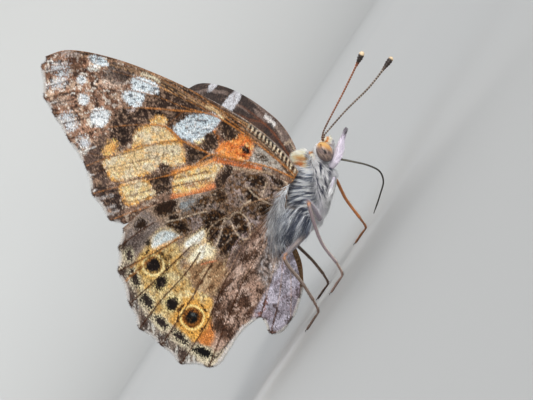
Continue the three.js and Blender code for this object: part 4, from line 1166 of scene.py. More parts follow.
def blade_faces(bands):
    """Corner numbers of one blade: triangles at root and tip, and quads between its bands."""
    last = 3 * (bands - 1)
    tris = [[2, 1, 0]] + [[last + s, last + (s + 1) % 3, last + 3] for s in range(3)]
    quads = [[k + s, k + (s + 1) % 3, k + 3 + (s + 1) % 3, k + 3 + s]
             for k in range(0, last, 3) for s in range(3)]
    return [np.array(shape) for shape in (tris, quads) if shape]


def tufts(name, roots, normals, flows, length, width, lift, rgb, uv, bands=2, bend=0.8, shaded_root=0.84,
          sweep=0.0):
    """Solid three-sided blades of hair that leave the skin, bend over along it and turn by sweep, painted
    with shade at the root and light at the tip.
    """
    count = len(roots)
    length, width, lift, sweep = (np.broadcast_to(v, (count,))[:, None] for v in (length, width, lift, sweep))
    level_flow = flows - np.sum(flows * normals, axis=1)[:, None] * normals
    level_flow /= np.linalg.norm(level_flow, axis=1)[:, None]
    beside = np.cross(level_flow, normals)
    at = roots - BLADE_SEAT * normals
    turn = np.radians([90, 210, 330])[None, :, None]
    rings, tints, maps = [], [], []
    for k in range(bands):
        angle, swing = lift * (1 - bend * k / bands), sweep * k / bands
        flow = level_flow * np.cos(swing) + beside * np.sin(swing)
        across = np.cross(flow, normals)
        ahead = flow * np.cos(angle) + normals * np.sin(angle)
        over = np.cross(across, ahead)
        size = width / 2 * (1 - 0.3 * k / bands)
        corner = np.cos(turn) * across[:, None] + np.sin(turn) * over[:, None]
        rings.append(at[:, None] + size[:, None] * corner)
        # painted shade toward the root of each hair and painted light toward its tip
        tone = shaded_root + (BLADE_TIP - shaded_root) * k / bands
        tints.append(np.repeat((rgb * tone)[:, None], 3, axis=1))
        rise = 0.002 * k / bands
        maps.append(uv[:, None] + np.array([[-BLADE_UV, rise - BLADE_UV], [BLADE_UV, rise - BLADE_UV],
                                            [0.0, rise - BLADE_UV / 2]]))
        at = at + ahead * length / bands
    rings.append(at[:, None])
    tints.append((rgb * (shaded_root + (BLADE_TIP - shaded_root) * bands / bands))[:, None])
    maps.append((uv + [0.0, BLADE_UV])[:, None])
    points = np.concatenate(rings, axis=1)
    base = (np.arange(count) * points.shape[1])[:, None, None]
    faces = [(base + shape[None]).reshape(-1, shape.shape[1]) for shape in blade_faces(bands)]
    flat_uv = np.concatenate(maps, axis=1).reshape(-1, 2)
    corners = np.vstack([flat_uv[f].reshape(-1, 2) for f in faces])
    tints = np.concatenate(tints, axis=1).reshape(-1, 3)
    piece = make_mesh(name, points.reshape(-1, 3), faces, HAIR, tints, corners)
    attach(piece, "root")
    return piece


def unit(v):
    """Vectors brought to length 1."""
    return v / np.maximum(np.linalg.norm(v, axis=-1, keepdims=True), 1e-9)


def uneven(rng, count, low, span):
    """Random lightness for each hair, as a column."""
    return (low + span * rng.random(count))[:, None]


def scatter(rng, count, size):
    """Random sideways share for each hair."""
    return size * rng.standard_normal((count, 3))


def even_tint(count, r, g, b):
    """One sRGB tone for each of count points."""
    return np.tile(colour(r, g, b), (count, 1))


def square_to(ahead, guide, turn):
    """Directions square to ahead, at angles that start from one square to the guide too."""
    side = unit(np.cross(ahead, guide))
    return np.cos(turn)[:, None] * side + np.sin(turn)[:, None] * np.cross(ahead, side)


# The trunk's outer form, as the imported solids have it: x, top, bottom, half width.
TAIL, NOSE, TRUNK_LENGTH = -15.3, 4.65, 19.95
BODY_SEED = 60  # of the strands, which skin and coat share


def abdomen_rings():
    """Top, bottom and half width along the abdomen, thickest in its front third."""
    out = []
    for t in np.linspace(0, 1, 15)[::-1]:
        girth = math.sqrt(max(0.03, 1 - (abs(t - 0.3) / 0.72) ** 2.2))
        middle = -1.3 - 1.25 * t
        out.append((-6.3 - 9 * t, middle + 1.55 * girth, middle - 1.7 * girth, 1.48 * girth))
    return out


TRUNK = np.array(abdomen_rings() + [
    (-6.0, 0.2, -2.8, 1.5), (-5.3, 0.9, -3.6, 1.95), (-4.2, 1.6, -4.15, 2.25), (-2.8, 2.05, -4.35, 2.35),
    (-1.2, 2.1, -3.95, 2.3), (0.2, 1.95, -3.4, 2.05), (1.2, 2.05, -2.95, 1.7), (1.9, 1.3, -2.4, 1.2),
    (2.2, 0.85, -1.2, 0.9), (2.7, 1.05, -0.95, 1.2), (3.3, 1.1, -0.95, 1.3), (3.9, 0.92, -0.9, 1.15),
    (4.35, 0.58, -0.75, 0.85), (NOSE, 0.15, -0.4, 0.45)])
# Depth of the coat over the skin, by x.
COAT_DEPTH = [(TAIL, 0.02), (-14.5, 0.2), (-7, 0.22), (-5.5, 0.45), (1.5, 0.45), (2.3, 0.28), (4.2, 0.28),
              (NOSE, 0.05)]


def trunk(x):
    """Middle height, half height and half width of the skin at x."""
    coat = np.interp(x, *np.array(COAT_DEPTH).T)
    top, low, half = (np.interp(x, TRUNK[:, 0], TRUNK[:, k]) for k in (1, 2, 3))
    return (top + low) / 2, np.maximum((top - low) / 2 - coat, 0.05), np.maximum(half - coat, 0.05)


def trunk_point(x, turn):
    """Point of the skin at x, by its angle up from the left side."""
    middle, rise, half = trunk(x)
    return np.stack([x, half * np.cos(turn), middle + rise * np.sin(turn)], axis=-1)


def trunk_frame(x, turn):
    """Point, outward normal, backward and downward directions along the skin."""
    at = trunk_point(x, turn)
    ahead = unit(trunk_point(x + 0.15, turn) - trunk_point(x - 0.15, turn))
    around = unit(trunk_point(x, turn + 0.02) - trunk_point(x, turn - 0.02))
    out = unit(np.cross(around, ahead) * -1)
    centre = np.stack([at[:, 0], 0 * x, trunk(x)[0]], axis=1)
    flip = np.sign(np.sum((at - centre) * out, axis=1))[:, None]
    out = out * np.where(flip == 0, 1, flip)
    down = around * -np.where(np.cos(turn) >= 0, 1, -1)[:, None]
    return at, out, -ahead, down


EYE_X, EYE_Z, EYE_LEAN = 3.37, -0.36, math.radians(26)
EYE_SHORT, EYE_LONG = 0.86, 1.18  # half lengths of its two axes
BARE_SHORT, BARE_LONG = 0.84, 1.16  # of the part with no hair


def eye_place(x, z):
    """Place on an eye along its short and long axis; its top leans forward."""
    c, s = math.cos(EYE_LEAN), math.sin(EYE_LEAN)
    return (x - EYE_X) * c - (z - EYE_Z) * s, (x - EYE_X) * s + (z - EYE_Z) * c


def brush_depth(x, z):
    """Distance below and ahead of the seam from behind the eye down to the middle legs."""
    return (x - 0.7) * 0.701 - (z + 0.8) * 0.713


def stroking(x, z, side):
    """Angle by which the hair turns upward from straight back: it sweeps up to the wing roots,
    but runs back and down in the chest brush."""
    depth = brush_depth(x, z)
    rise = np.interp(x, [-6, -3.6, -1.6, 0, 1.2, 2.2], [18, 40, 60, 66, 50, 20])
    brush = ramp(depth, -0.12, 0.12)
    rise = rise * (1 - brush) - brush * np.interp(depth, [0, 1.6], [46, 27])
    return np.radians(rise) * ramp(side, 0.2, 0.5)


def strand_field(at, seed):
    """Value that stays much the same along a hair of the body and changes across it."""
    x, y, z = at.T
    rise = stroking(x, z, np.ones(len(x)))
    across, along = z * np.cos(rise) + x * np.sin(rise), z * np.sin(rise) - x * np.cos(rise)
    return noise(across * 7.2, along * 0.7 + 0.3 * y, seed, 2)


def flank_tone(x, z, depth, level, strand, fine):
    """Blue-grey flank in white and slate strands, the white chest brush with dark strands of painted shade
    between its locks, and the brown back.
    """
    fleck = np.exp(-(((x + 3.1) / 0.6) ** 2) - ((z + 0.5) / 0.4) ** 2)
    brush = ramp(depth, -0.1, 0.1) * (x > -5.6)
    seam = np.exp(-(((depth + 0.1) / 0.13) ** 2)) * ramp(-z, 0.4, 1.0) * ramp(-x, -1.0, -0.4)
    back = ramp(level, 0.5, 0.85) * (x < 1)
    return layered(
        even_tint(len(x), 136, 146, 166),
        (ramp(strand, 0.49, 0.55), (255, 255, 255)),
        (1 - ramp(strand, 0.38, 0.44), (62, 69, 88)),
        (fleck * ramp(fine, 0.35, 0.5), (226, 180, 120)),
        (brush, (254, 252, 255)),
        # dark strands in the brush: painted shade in the gaps between its white locks
        (brush * (1 - ramp(strand, 0.39, 0.43)), (56, 58, 84)),
        (seam * 0.85, (58, 62, 80)),
        (1 - ramp(level, -0.86, -0.6), (244, 242, 248)),
        (back, (150, 126, 96)),
        (ramp(fine, 0.5, 0.6) * back * 0.6, (96, 84, 70)))


def abdomen_tone(rgb, x, level, fine):
    """Brown above, pale below, each ring edged paler."""
    ring = (-(x + 6.3) / 9 * 7) % 1
    shade = np.where(level[:, None] > 0.35, colour(128, 102, 76), colour(168, 148, 126))
    shade = blend(shade, ramp(-level, 0.3, 0.6), colour(224, 214, 200))
    shade = shade * (0.75 + 0.5 * ramp(ring, 0.55, 0.95))[:, None] * (0.8 + 0.45 * fine)[:, None]
    return blend(rgb, 1 - ramp(x, -6.6, -5.9), shade)


def collar_tone(rgb, x, y, z, depth, strand):
    """Cream collar with an orange patch on each side."""
    collar = ramp(x, 0.3, 0.7) * ramp(2.6 - x, 0, 0.3) * (1 - ramp(depth, -0.35, -0.1))
    patch = np.exp(-(((x - 0.85) / 0.34) ** 2) - ((z - 0.6) / 0.34) ** 2)
    return layered(
        rgb,
        (collar, (255, 232, 184)),
        (collar * ramp(strand, 0.5, 0.54), (255, 249, 226)),
        (collar * (1 - ramp(strand, 0.38, 0.44)), (222, 178, 122)),
        (patch * 1.3 * (np.abs(y) > 0.6), (240, 150, 74)))


def head_tone(rgb, x, y, z, level, fine, seed):
    """White and grey locks, cream and rust on the crown and the face, white round the eyes."""
    head, lock = ramp(x, 2.2, 2.5), noise(z * 5.5 + 0.5 * x, x * 1.4 + y * 1.5, seed + 3)
    face = ramp(x, 3.95, 4.2) * ramp(level, -0.5, -0.1)
    u, w = eye_place(x, z)
    round_eye = 1 - ramp(np.hypot(u / EYE_SHORT, w / EYE_LONG), 1.15, 1.35)
    return layered(
        rgb,
        (head, (252, 247, 252)),
        (head * (1 - ramp(lock, 0.4, 0.45)), (172, 164, 182)),
        (head * ramp(level, 0.25, 0.55), (255, 228, 186)),
        (head * ramp(level, 0.25, 0.55) * ramp(lock, 0.5, 0.54), (255, 247, 230)),
        (head * ramp(level, 0.35, 0.65) * (1 - ramp(lock, 0.42, 0.47)), (214, 148, 86)),
        (face, (255, 240, 214)),
        (face * ramp(level, 0.1, 0.4) * ramp(fine, 0.44, 0.5), (222, 148, 82)),
        (head * round_eye * (1 - ramp(u, 0.1, 0.5)), (255, 253, 253)))


def trunk_tone(at, level, seed, lie=0.0):
    """Colours of the body, from the animal's own markings. level runs from -1 below to 1 above, and
    lie leads from the root of a hair to the part of it that shows, which picks its strand."""
    strand = strand_field(at + lie, seed)
    x, y, z = at.T
    fine = noise(x * 4 + 9, z * 4 - y, seed + 2)
    depth = brush_depth(x, z)
    rgb = flank_tone(x, z, depth, level, strand, fine)
    rgb = abdomen_tone(rgb, x, level, fine)
    rgb = collar_tone(rgb, x, y, z, depth, strand)
    return head_tone(rgb, x, y, z, level, fine, seed)


def trunk_uv(x, turn):
    """Place on the unwrap of a point of the trunk."""
    around = (turn / (2 * math.pi) + 0.25) % 1
    return np.stack([0.03 + 0.94 * around, 0.03 + 0.94 * (x - TAIL) / TRUNK_LENGTH], axis=-1)


def paired_uv(side, turn, along):
    """Place on the unwrap of a part that comes in pairs: one half for each side."""
    return np.stack([0.25 * (1 + side) + 0.02 + 0.44 * turn / (2 * math.pi), along], axis=1)


def level_of(at):
    """Height of points on the trunk, from -1 below to 1 above."""
    middle, rise, _ = trunk(at[:, 0])
    return np.clip((at[:, 2] - middle) / rise, -1, 1)


def ring_faces(rows, sides):
    """Faces round the rings of a closed form; a middle point for each end follows the last ring."""
    ids = np.arange(rows * sides).reshape(rows, sides)
    after = np.roll(ids, -1, axis=1)
    quads = np.stack([ids[:-1], after[:-1], after[1:], ids[1:]], axis=-1).reshape(-1, 4)
    first, last = np.full(sides, rows * sides), np.full(sides, rows * sides + 1)
    caps = np.vstack([np.stack([after[0], ids[0], first], axis=1),
                      np.stack([ids[-1], after[-1], last], axis=1)])
    return quads, caps


def ring_grid(x, sides):
    """Each x once for each angle of a full turn, and those angles."""
    return np.repeat(x, sides), np.tile(wheel(sides), len(x))


def tube(points, girths, sides=12, steps=60):
    """Rings along a curve. girths are (share, radius) pairs. Gives points, faces and share."""
    line = curve(points, steps)
    share = np.linspace(0, 1, steps)
    radius = np.interp(share, *np.array(girths).T)
    ahead = unit(np.gradient(line, axis=0))
    side = unit(np.cross(ahead[0], [0.31, 0.2, 0.93]))
    turn = wheel(sides)[:, None]
    rings = []
    for k in range(steps):
        side = unit(side - ahead[k] * (side @ ahead[k]))
        over = np.cross(ahead[k], side)
        rings.append(line[k] + radius[k] * (np.cos(turn) * side + np.sin(turn) * over))
    out = np.vstack(rings + [line[:1], line[-1:]])
    return out, *ring_faces(steps, sides), np.r_[np.repeat(share, sides), 0, 1]


def limb(route, girths, steps, sides=14):
    """A tube, with the middle line's point beside each of its points."""
    middle = curve(route, steps)[np.r_[np.repeat(np.arange(steps), sides), 0, steps - 1]]
    return *tube(route, girths, sides, steps), middle


class Group:
    """Several closed forms joined in one mesh."""

    def __init__(self):
        self.points, self.quads, self.tris, self.tints, self.count = [], [], [], [], 0

    def add(self, points, quads, tris, tints):
        self.points.append(points)
        self.quads.append(np.asarray(quads).reshape(-1, 4) + self.count)
        self.tris.append(np.asarray(tris).reshape(-1, 3) + self.count)
        self.tints.append(tints)
        self.count += len(points)

    def make(self, name, material):
        faces = [f for f in (np.vstack(self.quads), np.vstack(self.tris)) if len(f)]
        piece = make_mesh(name, np.vstack(self.points), faces, material, np.vstack(self.tints))
        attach(piece, "root")
        return piece


def bare(at, margin, middle):
    """True where a hair would not stand on an eye."""
    u, w = eye_place(at[:, 0], at[:, 2])
    outside = (u / (BARE_SHORT * margin)) ** 2 + (w / (BARE_LONG * margin)) ** 2 > 1
    return outside | (np.abs(at[:, 1]) < middle)


PALP = [(2.25, -1.45, -2.3, 0.3), (2.8, -1.3, -2.42, 0.42), (3.5, -1.25, -2.4, 0.43),
        (4.3, -1.03, -2.14, 0.4), (5.2, -0.9, -1.58, 0.3), (6.0, -0.87, -1.2, 0.2), (6.66, -0.88, -1.05, 0.1)]
PALP_START, PALP_SINK = 2.25, 0.1  # where a palp leaves the head, and how deep its skin lies
FORELEG = [(1.7, 1.62, -2.75), (0.3, 1.95, -3.2), (-1.0, 1.92, -3.72)]
FORELEG_GIRTHS = [(0, 0.15), (0.4, 0.22), (0.8, 0.18), (1, 0.06)]


def palp_point(x, turn, side):
    """Point of a palp's skin at x, by its angle up from the left side."""
    t = np.array(PALP)
    top, low, half = (np.interp(x, t[:, 0], t[:, k]) for k in (1, 2, 3))
    rise = np.maximum((top - low) / 2 - PALP_SINK, 0.04)
    half = np.maximum(half - PALP_SINK, 0.04)
    return np.stack([x, side * 0.6 + half * np.cos(turn), (top + low) / 2 + rise * np.sin(turn)], axis=-1)


def foreleg(side):
    """Route of the folded first leg on one side."""
    return [(x, side * y, z) for x, y, z in FORELEG]


def skin():
    """One skin for trunk, head, palps and forelegs, inside the solids by the depth of the coat."""
    form = Group()
    x = np.r_[np.linspace(TAIL, 2.0, 100), np.linspace(2.05, NOSE, 50)]
    at = np.vstack([trunk_point(*ring_grid(x, 44)), [(v, 0, trunk(v)[0]) for v in (TAIL, NOSE)]])
    # the trunk's skin takes the coat's tones at 0.75: partly the darker skin under the hair, partly painted
    # shade in the gaps between the hairs
    form.add(at, *ring_faces(len(x), 44), trunk_tone(at, level_of(at), BODY_SEED) * 0.75)
    for side in (-1, 1):
        at = palp_point(*ring_grid(np.linspace(PALP_START, 6.4, 26), 16), side)
        at = np.vstack([at, at[:16].mean(0), at[-16:].mean(0)])
        form.add(at, *ring_faces(26, 16), even_tint(len(at), 196, 188, 198))
        points, quads, caps, _ = tube(foreleg(side), FORELEG_GIRTHS, 10, 24)
        form.add(points, quads, caps, even_tint(len(points), 190, 184, 196))
    piece = form.make("body_skin", SKIN)
    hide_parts("thorax", "abdomen", "head", "palp_right", "palp_left", "foreleg_right",
                "foreleg_left")


skin()


def draw(rng, count, low, high, weight):
    """Random x with a density that follows weight(x)."""
    grid = np.linspace(low, high, 400)
    share = np.cumsum(weight(grid))
    return np.interp(rng.random(count) * share[-1], share, grid)


def girth(x):
    """Half height plus half width of the trunk at x."""
    _, rise, half = trunk(x)
    return rise + half


def body_coat(name, count, low, high, length, width, lift, seed, bands=3, swirl=0.6, half=0):
    """Hair over a stretch of the trunk; half is 1 for the left side alone and -1 for the right."""
    rng = np.random.default_rng(seed)
    x = draw(rng, count, low, high, girth)
    turn = rng.random(count) * 2 * math.pi
    at, out, back, down = trunk_frame(x, turn)
    level = level_of(at)
    keep = bare(at, 1, 0.45) & (np.cos(turn) * half >= 0)
    x, turn, at, out, back, down, level = (v[keep] for v in (x, turn, at, out, back, down, level))
    n, side = len(x), np.abs(np.cos(turn))
    wander = noise(x * 0.55 + 3, turn * 1.1, seed + 5, 2) + 0.5 * noise(x * 2, turn * 3, seed + 6, 2) - 0.75
    angle = swirl * wander - stroking(x, at[:, 2], side) * (x > -6)
    flow = back * np.cos(angle)[:, None] + down * np.sin(angle)[:, None]
    flow = unit(flow + scatter(rng, n, 0.055))
    reach = length(x, level) * (0.75 + 0.5 * rng.random(n))
    tint = trunk_tone(at, level, BODY_SEED, 0.6 * reach[:, None] * flow) * uneven(rng, n, 0.84, 0.34)
    lift = lift(x, level) * (0.6 + 0.8 * rng.random(n))
    sweep = np.where(np.cos(turn) > 0, 1, -1) * 0.12 * (x > -6) * side
    piece = tufts(name, at, out, flow, reach, width, lift, tint, trunk_uv(x, turn), bands=bands, sweep=sweep)


def thorax_length(x, level):
    """Length of the hair on the thorax: longest below, longer above than on the flank."""
    return 0.95 + (0.5 * (1 - ramp(level, -0.8, -0.3)) + 0.15 * ramp(level, 0.5, 0.9))


for word, half in (("left", 1), ("right", -1)):
    body_coat(f"coat_thorax_{word}", 21000, -6.1, 1.2, thorax_length, 0.04,
              lambda x, level: 0.36 + 0.14 * ramp(level, 0.5, 0.9), 71, swirl=0.2, half=half)
body_coat("coat_abdomen", 14000, -15.2, -6.0, lambda x, level: 0.42 + 0 * x, 0.06,
          lambda x, level: 0.3 + 0 * x, 72, bands=2, swirl=0.2)
body_coat("coat_neck", 10000, 0.9, 2.6, lambda x, level: 0.8 + 0.3 * ramp(np.abs(level), 0.2, 0.7), 0.038,
          lambda x, level: 0.5 + 0.5 * ramp(level, 0.2, 0.7), 73, swirl=0.25)


def head_coat(rng):
    """Short fluff on the head, longer on the crown and in front, none on the eyes."""
    count = 11000
    x = draw(rng, count, 2.25, 4.66, lambda v: girth(v) + 2.6 * ramp(v, 3.8, 4.2))
    turn = rng.random(count) * 2 * math.pi
    at, out, back, down = trunk_frame(x, turn)
    level = level_of(at)
    keep = bare(at, 1.04, 0.42)
    x, turn, at, out, back, down, level = (v[keep] for v in (x, turn, at, out, back, down, level))
    n, front = len(x), ramp(x, 3.9, 4.5)
    crown, throat = ramp(level, 0.45, 0.8), 1 - ramp(level, -0.5, -0.05)
    ahead = front[:, None]
    flow = unit(back * (1 - ahead) - back * ahead * 1.1 + down * (0.25 + 0.75 * throat)[:, None]
                + scatter(rng, n, 0.22))
    length = 0.26 + 0.05 * crown + 0.85 * throat * (1 - front) + 0.14 * front
    length = length * (0.7 + 0.6 * rng.random(n))
    tint = trunk_tone(at, level, BODY_SEED) * uneven(rng, n, 0.85, 0.35)
    piece = tufts("coat_head", at, out, flow, length, 0.04, 0.7 - 0.1 * crown + 0.1 * front, tint,
                  trunk_uv(x, turn), bands=2)


def cheek_coat(rng):
    """White and grey locks that hang from each cheek."""
    count = 3600
    x = 2.3 + 1.35 * rng.random(count)
    turn = math.radians(-12) - math.radians(46) * rng.random(count)
    turn = np.where(rng.random(count) < 0.5, turn, math.pi - turn)
    at, out, _, _ = trunk_frame(x, turn)
    flow = unit(np.array([-0.5, 0.0, -0.87]) + scatter(rng, count, 0.1))
    lock = noise(x * 5 - at[:, 2] * 2, at[:, 2] * 0.8, 83)
    tint = np.where((lock > 0.45)[:, None], colour(250, 246, 253), colour(150, 146, 170))
    tint = tint * uneven(rng, count, 0.85, 0.3)
    piece = tufts("coat_cheeks", at, out, flow, 0.7 + 0.5 * rng.random(count), 0.04, 0.28, tint,
                  trunk_uv(x, turn), bands=2)


def gathered(parts):
    """The same arrays of several parts, joined."""
    return (np.concatenate(values) for values in zip(*parts))


def palp_coat():
    """Both palps: white hair, dark above and at the tip."""
    rng = np.random.default_rng(76)
    count = 3600
    parts = []
    for side in (-1, 1):
        x = PALP_START + 4.1 * rng.random(count) ** 1.1
        turn = rng.random(count) * 2 * math.pi
        at = palp_point(x, turn, side)
        out = unit(np.stack([0 * x, np.cos(turn), np.sin(turn)], axis=1))
        ahead = unit(palp_point(x + 0.2, turn, side) - at)
        flow = unit(ahead + scatter(rng, count, 0.16))
        tip = ramp(x, 5.1, 5.9)
        upper = ramp(np.sin(turn), 0.35, 0.8) * ramp(x, 3.6, 4.6)
        tint = colour(242, 232, 250) * uneven(rng, count, 0.82, 0.35)
        dark = np.clip(tip * 0.55 + upper * (0.6 + 0.4 * tip), 0, 1) * (rng.random(count) > 0.2)
        edge = ramp(np.abs(np.sin(turn)), 0.3, 0.7)
        dark = np.maximum(dark, ramp(x, 5.5, 5.9) * (0.6 + 0.38 * edge))
        tint = blend(tint, dark, colour(52, 42, 42))
        length = np.minimum(0.5 + 0.1 * tip, 6.75 - x) * (0.7 + 0.5 * rng.random(count))
        uv = paired_uv(side, turn, 0.03 + 0.94 * (x - PALP_START) / 4.5)
        parts.append((at, out, flow, length, 0.18 + 0.14 * tip, tint, uv))
    at, out, flow, length, lift, tint, uv = gathered(parts)
    piece = tufts("coat_palps", at, out, flow, length, 0.042, lift, tint, uv, bands=2)


def chest_coat():
    """The folded first legs and the chest between them are one long pale brush, with darker locks of painted
    shade between the pale ones.
    """
    rng = np.random.default_rng(77)
    count = 2600
    parts = []
    for side in (-1, 1):
        line = curve(foreleg(side), 60)
        s = rng.random(count)
        spot = np.stack([np.interp(s, np.linspace(0, 1, 60), line[:, k]) for k in range(3)], axis=1)
        turn = rng.random(count) * 2 * math.pi
        ahead = unit(line[-1] - line[0])
        out = square_to(ahead, [0, 0, 1.0], turn)
        at = spot + out * np.interp(s, *np.array(FORELEG_GIRTHS).T)[:, None]
        flow = unit(ahead + scatter(rng, count, 0.14))
        # locks at 0.4 are painted shade in the gaps between the white locks
        shade = np.where(noise(turn * 3.2, s * 0.8, 79) < 0.42, 0.4, 1.0) * (0.8 + 0.35 * rng.random(count))
        tint = colour(255, 253, 255) * shade[:, None]
        length = (1.1 - 0.4 * s) * (0.7 + 0.5 * rng.random(count))
        parts.append((at, out, flow, length, tint, paired_uv(side, turn, 0.03 + 0.94 * s)))
    at, out, flow, length, tint, uv = gathered(parts)
    piece = tufts("coat_forelegs", at, out, flow, length, 0.045, 0.22, tint, uv, bands=3)


def strand_tones(rng, count, field):
    """White, blue-grey and slate hairs in strands that follow the field."""
    tint = np.where((field > 0.5)[:, None], colour(248, 251, 255), colour(142, 152, 172))
    tint = np.where((field < 0.42)[:, None], colour(70, 77, 96), tint)
    tint = np.where((rng.random(count) > 0.92)[:, None], colour(246, 246, 248), tint)
    return tint * uneven(rng, count, 0.8, 0.32)


def flank_turn(rng, count, side, start, span):
    """Random angles round the trunk on one side, in degrees up from the middle of the flank."""
    turn = math.radians(start) + math.radians(span) * rng.random(count)
    return turn if side > 0 else math.pi - turn


def upper_root_hair(rng, side):
    """Hair that sweeps up from the flank over the wing roots."""
    count = 4200
    x = -4.6 + 5.6 * rng.random(count)
    turn = flank_turn(rng, count, side, -8, 40)
    at, out, back, down = trunk_frame(x, turn)
    flow = unit(back * 0.55 - down * 0.85 + scatter(rng, count, 0.06))
    reach = 0.9 + 0.8 * rng.random(count)
    tint = strand_tones(rng, count, strand_field(at + 0.6 * reach[:, None] * flow, BODY_SEED))
    tan = 0.85 * np.exp(-(((x + 3.4) / 0.45) ** 2)) * (rng.random(count) > 0.4)
    tint = blend(tint, tan, colour(222, 184, 130))
    return at, out, flow, reach, np.full(count, 0.6), tint, trunk_uv(x, turn), side * np.full(count, 0.15)


def rear_root_hair(rng, side):
    """Long hair that arches back from the flank."""
    count = 3400
    x = -5.9 + 3.0 * rng.random(count)
    turn = flank_turn(rng, count, side, -52, 100)
    at, out, back, down = trunk_frame(x, turn)
    flow = unit(back * 0.9 - down * 0.45 + scatter(rng, count, 0.1))
    tint = strand_tones(rng, count, noise(at[:, 2] * 4.6 - x * 1.6, x * 0.4, 81))
    length, lift = 1.5 + 1.9 * rng.random(count), 0.6 + 0.3 * rng.random(count)
    return at, out, flow, length, lift, tint, trunk_uv(x, turn), side * (0.5 + 0.6 * rng.random(count))


# Where the hindwing leaves the body, as (x, up) in its membrane.
WING_ROOT_EDGE = np.array([(-1.2, 1.1), (-2.5, 0.8), (-3.6, 0.3), (-4.7, -0.1), (-5.8, -0.8), (-6.6, -1.6)])


def hindwing_root_hair(rng, side, pose):
    """Long loose hair over the root of the hindwing."""
    count = 1500
    s = 5 * rng.random(count) ** 0.7
    away = rng.random(count) ** 1.4
    px = np.interp(s, np.arange(6), WING_ROOT_EDGE[:, 0]) - 1.5 * away
    up = np.interp(s, np.arange(6), WING_ROOT_EDGE[:, 1]) + 0.5 * away
    rise = hindwing_lift(px, up) + MEMBRANE / 2 + 0.05
    at = wing_place(px, up, rise, **pose)
    ahead = unit(wing_place(px - 0.1, up - 0.03, rise, **pose) - at)
    higher = unit(wing_place(px, up + 0.1, rise, **pose) - at)
    out = unit(np.cross(ahead, higher))
    out *= np.sign(out[:, 1] * side)[:, None]
    flow = unit(ahead + higher * (0.5 - 0.2 * s)[:, None] + scatter(rng, count, 0.25))
    tint = strand_tones(rng, count, noise(s * 6, away * 0.6, 82))
    tint = blend(tint, 0.75 * away * (rng.random(count) > 0.3), colour(146, 126, 110))
    length = (1.2 + 1.5 * rng.random(count)) * (0.45 + 0.55 * ramp(s, 0.3, 2))
    lift = 0.12 + 0.12 * rng.random(count)
    uv = np.stack([0.04 + 0.92 * s / 5, 0.04 + 0.2 * away], axis=1)
    return at, out, flow, length, lift, tint, uv, side * (0.1 + 0.5 * rng.random(count))


def wing_root_coat(word, side, pose):
    """All hair round the wing roots of one side."""
    rng = np.random.default_rng(78)
    parts = [upper_root_hair(rng, side), rear_root_hair(rng, side), hindwing_root_hair(rng, side, pose)]
    at, out, flow, length, lift, tint, uv, sweep = gathered(parts)
    piece = tufts(f"coat_wing_root_{word}", at, out, flow, length, 0.036, lift, tint, uv, bands=3, bend=0.45,
                  sweep=sweep)


head_draws = np.random.default_rng(75)
head_coat(head_draws)
cheek_coat(head_draws)
palp_coat()
chest_coat()
wing_root_coat("right", -1, NEAR_WING)
wing_root_coat("left", 1, FAR_WING)


# Eyes, feelers and tongue.
# Dark false pupils: place on the eye, half sizes and strength.
PUPILS = ((0.14, 0.06, 0.12, 0.27, 0.95), (0.02, 0.42, 0.06, 0.13, 0.5), (-0.26, -0.2, 0.08, 0.2, 0.4),
          (0.1, -0.5, 0.07, 0.13, 0.45), (-0.36, 0.3, 0.06, 0.15, 0.45), (0.4, -0.25, 0.05, 0.13, 0.35))


def eye_tint(u, w):
    """Brown eye, amber toward its upper front edge with a painted highlight along it, with dark clouds, a
    dark rim, a dark line of painted reflection of the feeler, and false pupils.
    """
    radius = np.sqrt((u / EYE_SHORT) ** 2 + (w / EYE_LONG) ** 2)
    toward = (u * 0.75 + w * 0.66) / 0.9  # 1 at the upper front edge, -1 at the lower rear
    # the line of a painted reflection of the feeler across the eye
    fall = line_distance(u, w, [(0.12, 0.98), (0.02, 0.6), (0.06, 0.3)])[0]
    rgb = layered(
        even_tint(len(u), 132, 112, 106),
        ((1 - ramp(toward, -0.5, 0.1)) * 0.55, (92, 72, 66)),
        (ramp(toward + 0.4 * radius, 0.4, 1.15), (208, 152, 84)),
        # painted highlight along the upper front edge
        (ramp(toward + 0.35 * radius, 0.95, 1.35) * 0.7, (236, 192, 122)),
        (ramp(noise(u * 7, w * 1.6, 91), 0.52, 0.62) * (1 - ramp(toward, 0.2, 0.6)) * 0.55, (74, 56, 52)),
        (ramp(noise(u * 8 + 5, w * 2 + 3, 92), 0.58, 0.66) * 0.35, (206, 180, 158)),
        (ramp(radius, 0.84, 0.98) * (1 - ramp(toward, -0.1, 0.4)) * 0.9, (44, 34, 34)),
        (ramp(radius, 0.93, 1.0) * ramp(toward, 0.3, 0.6) * 0.5, (178, 112, 56)),
        # painted reflection of the feeler
        ((1 - ramp(fall, 0.03, 0.08)) * 0.75, (70, 44, 34)))
    for cu, cw, ru, rw, strength in PUPILS:
        spot = 1 - ramp(np.hypot((u - cu) / ru, (w - cw) / rw), 0.7, 1.25)
        rgb = layered(rgb, (spot * strength, (24, 18, 18)))
    return rgb


def build_eye(name, side):
    """A domed oval eye, leaning forward."""
    rows, sides = 40, 56
    fall, turn = ring_grid(np.linspace(0.0, 2.1, rows), sides)
    short, long = EYE_SHORT * np.sin(fall) * np.cos(turn), EYE_LONG * np.sin(fall) * np.sin(turn)
    c, s = math.cos(EYE_LEAN), math.sin(EYE_LEAN)
    at = np.stack([EYE_X + short * c + long * s, side * (0.98 + 0.95 * np.cos(fall)),
                   EYE_Z + long * c - short * s], axis=1)
    at = np.vstack([at, at[:sides].mean(0), at[-sides:].mean(0)])
    faces = ring_faces(rows, sides)
    if side > 0:
        faces = [f[:, ::-1] for f in faces]
    piece = make_mesh(name + "_lens", at, faces, EYE, eye_tint(*eye_place(at[:, 0], at[:, 2])))
    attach(piece, "root")
    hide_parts(name)


build_eye("eye_right", -1)
build_eye("eye_left", 1)

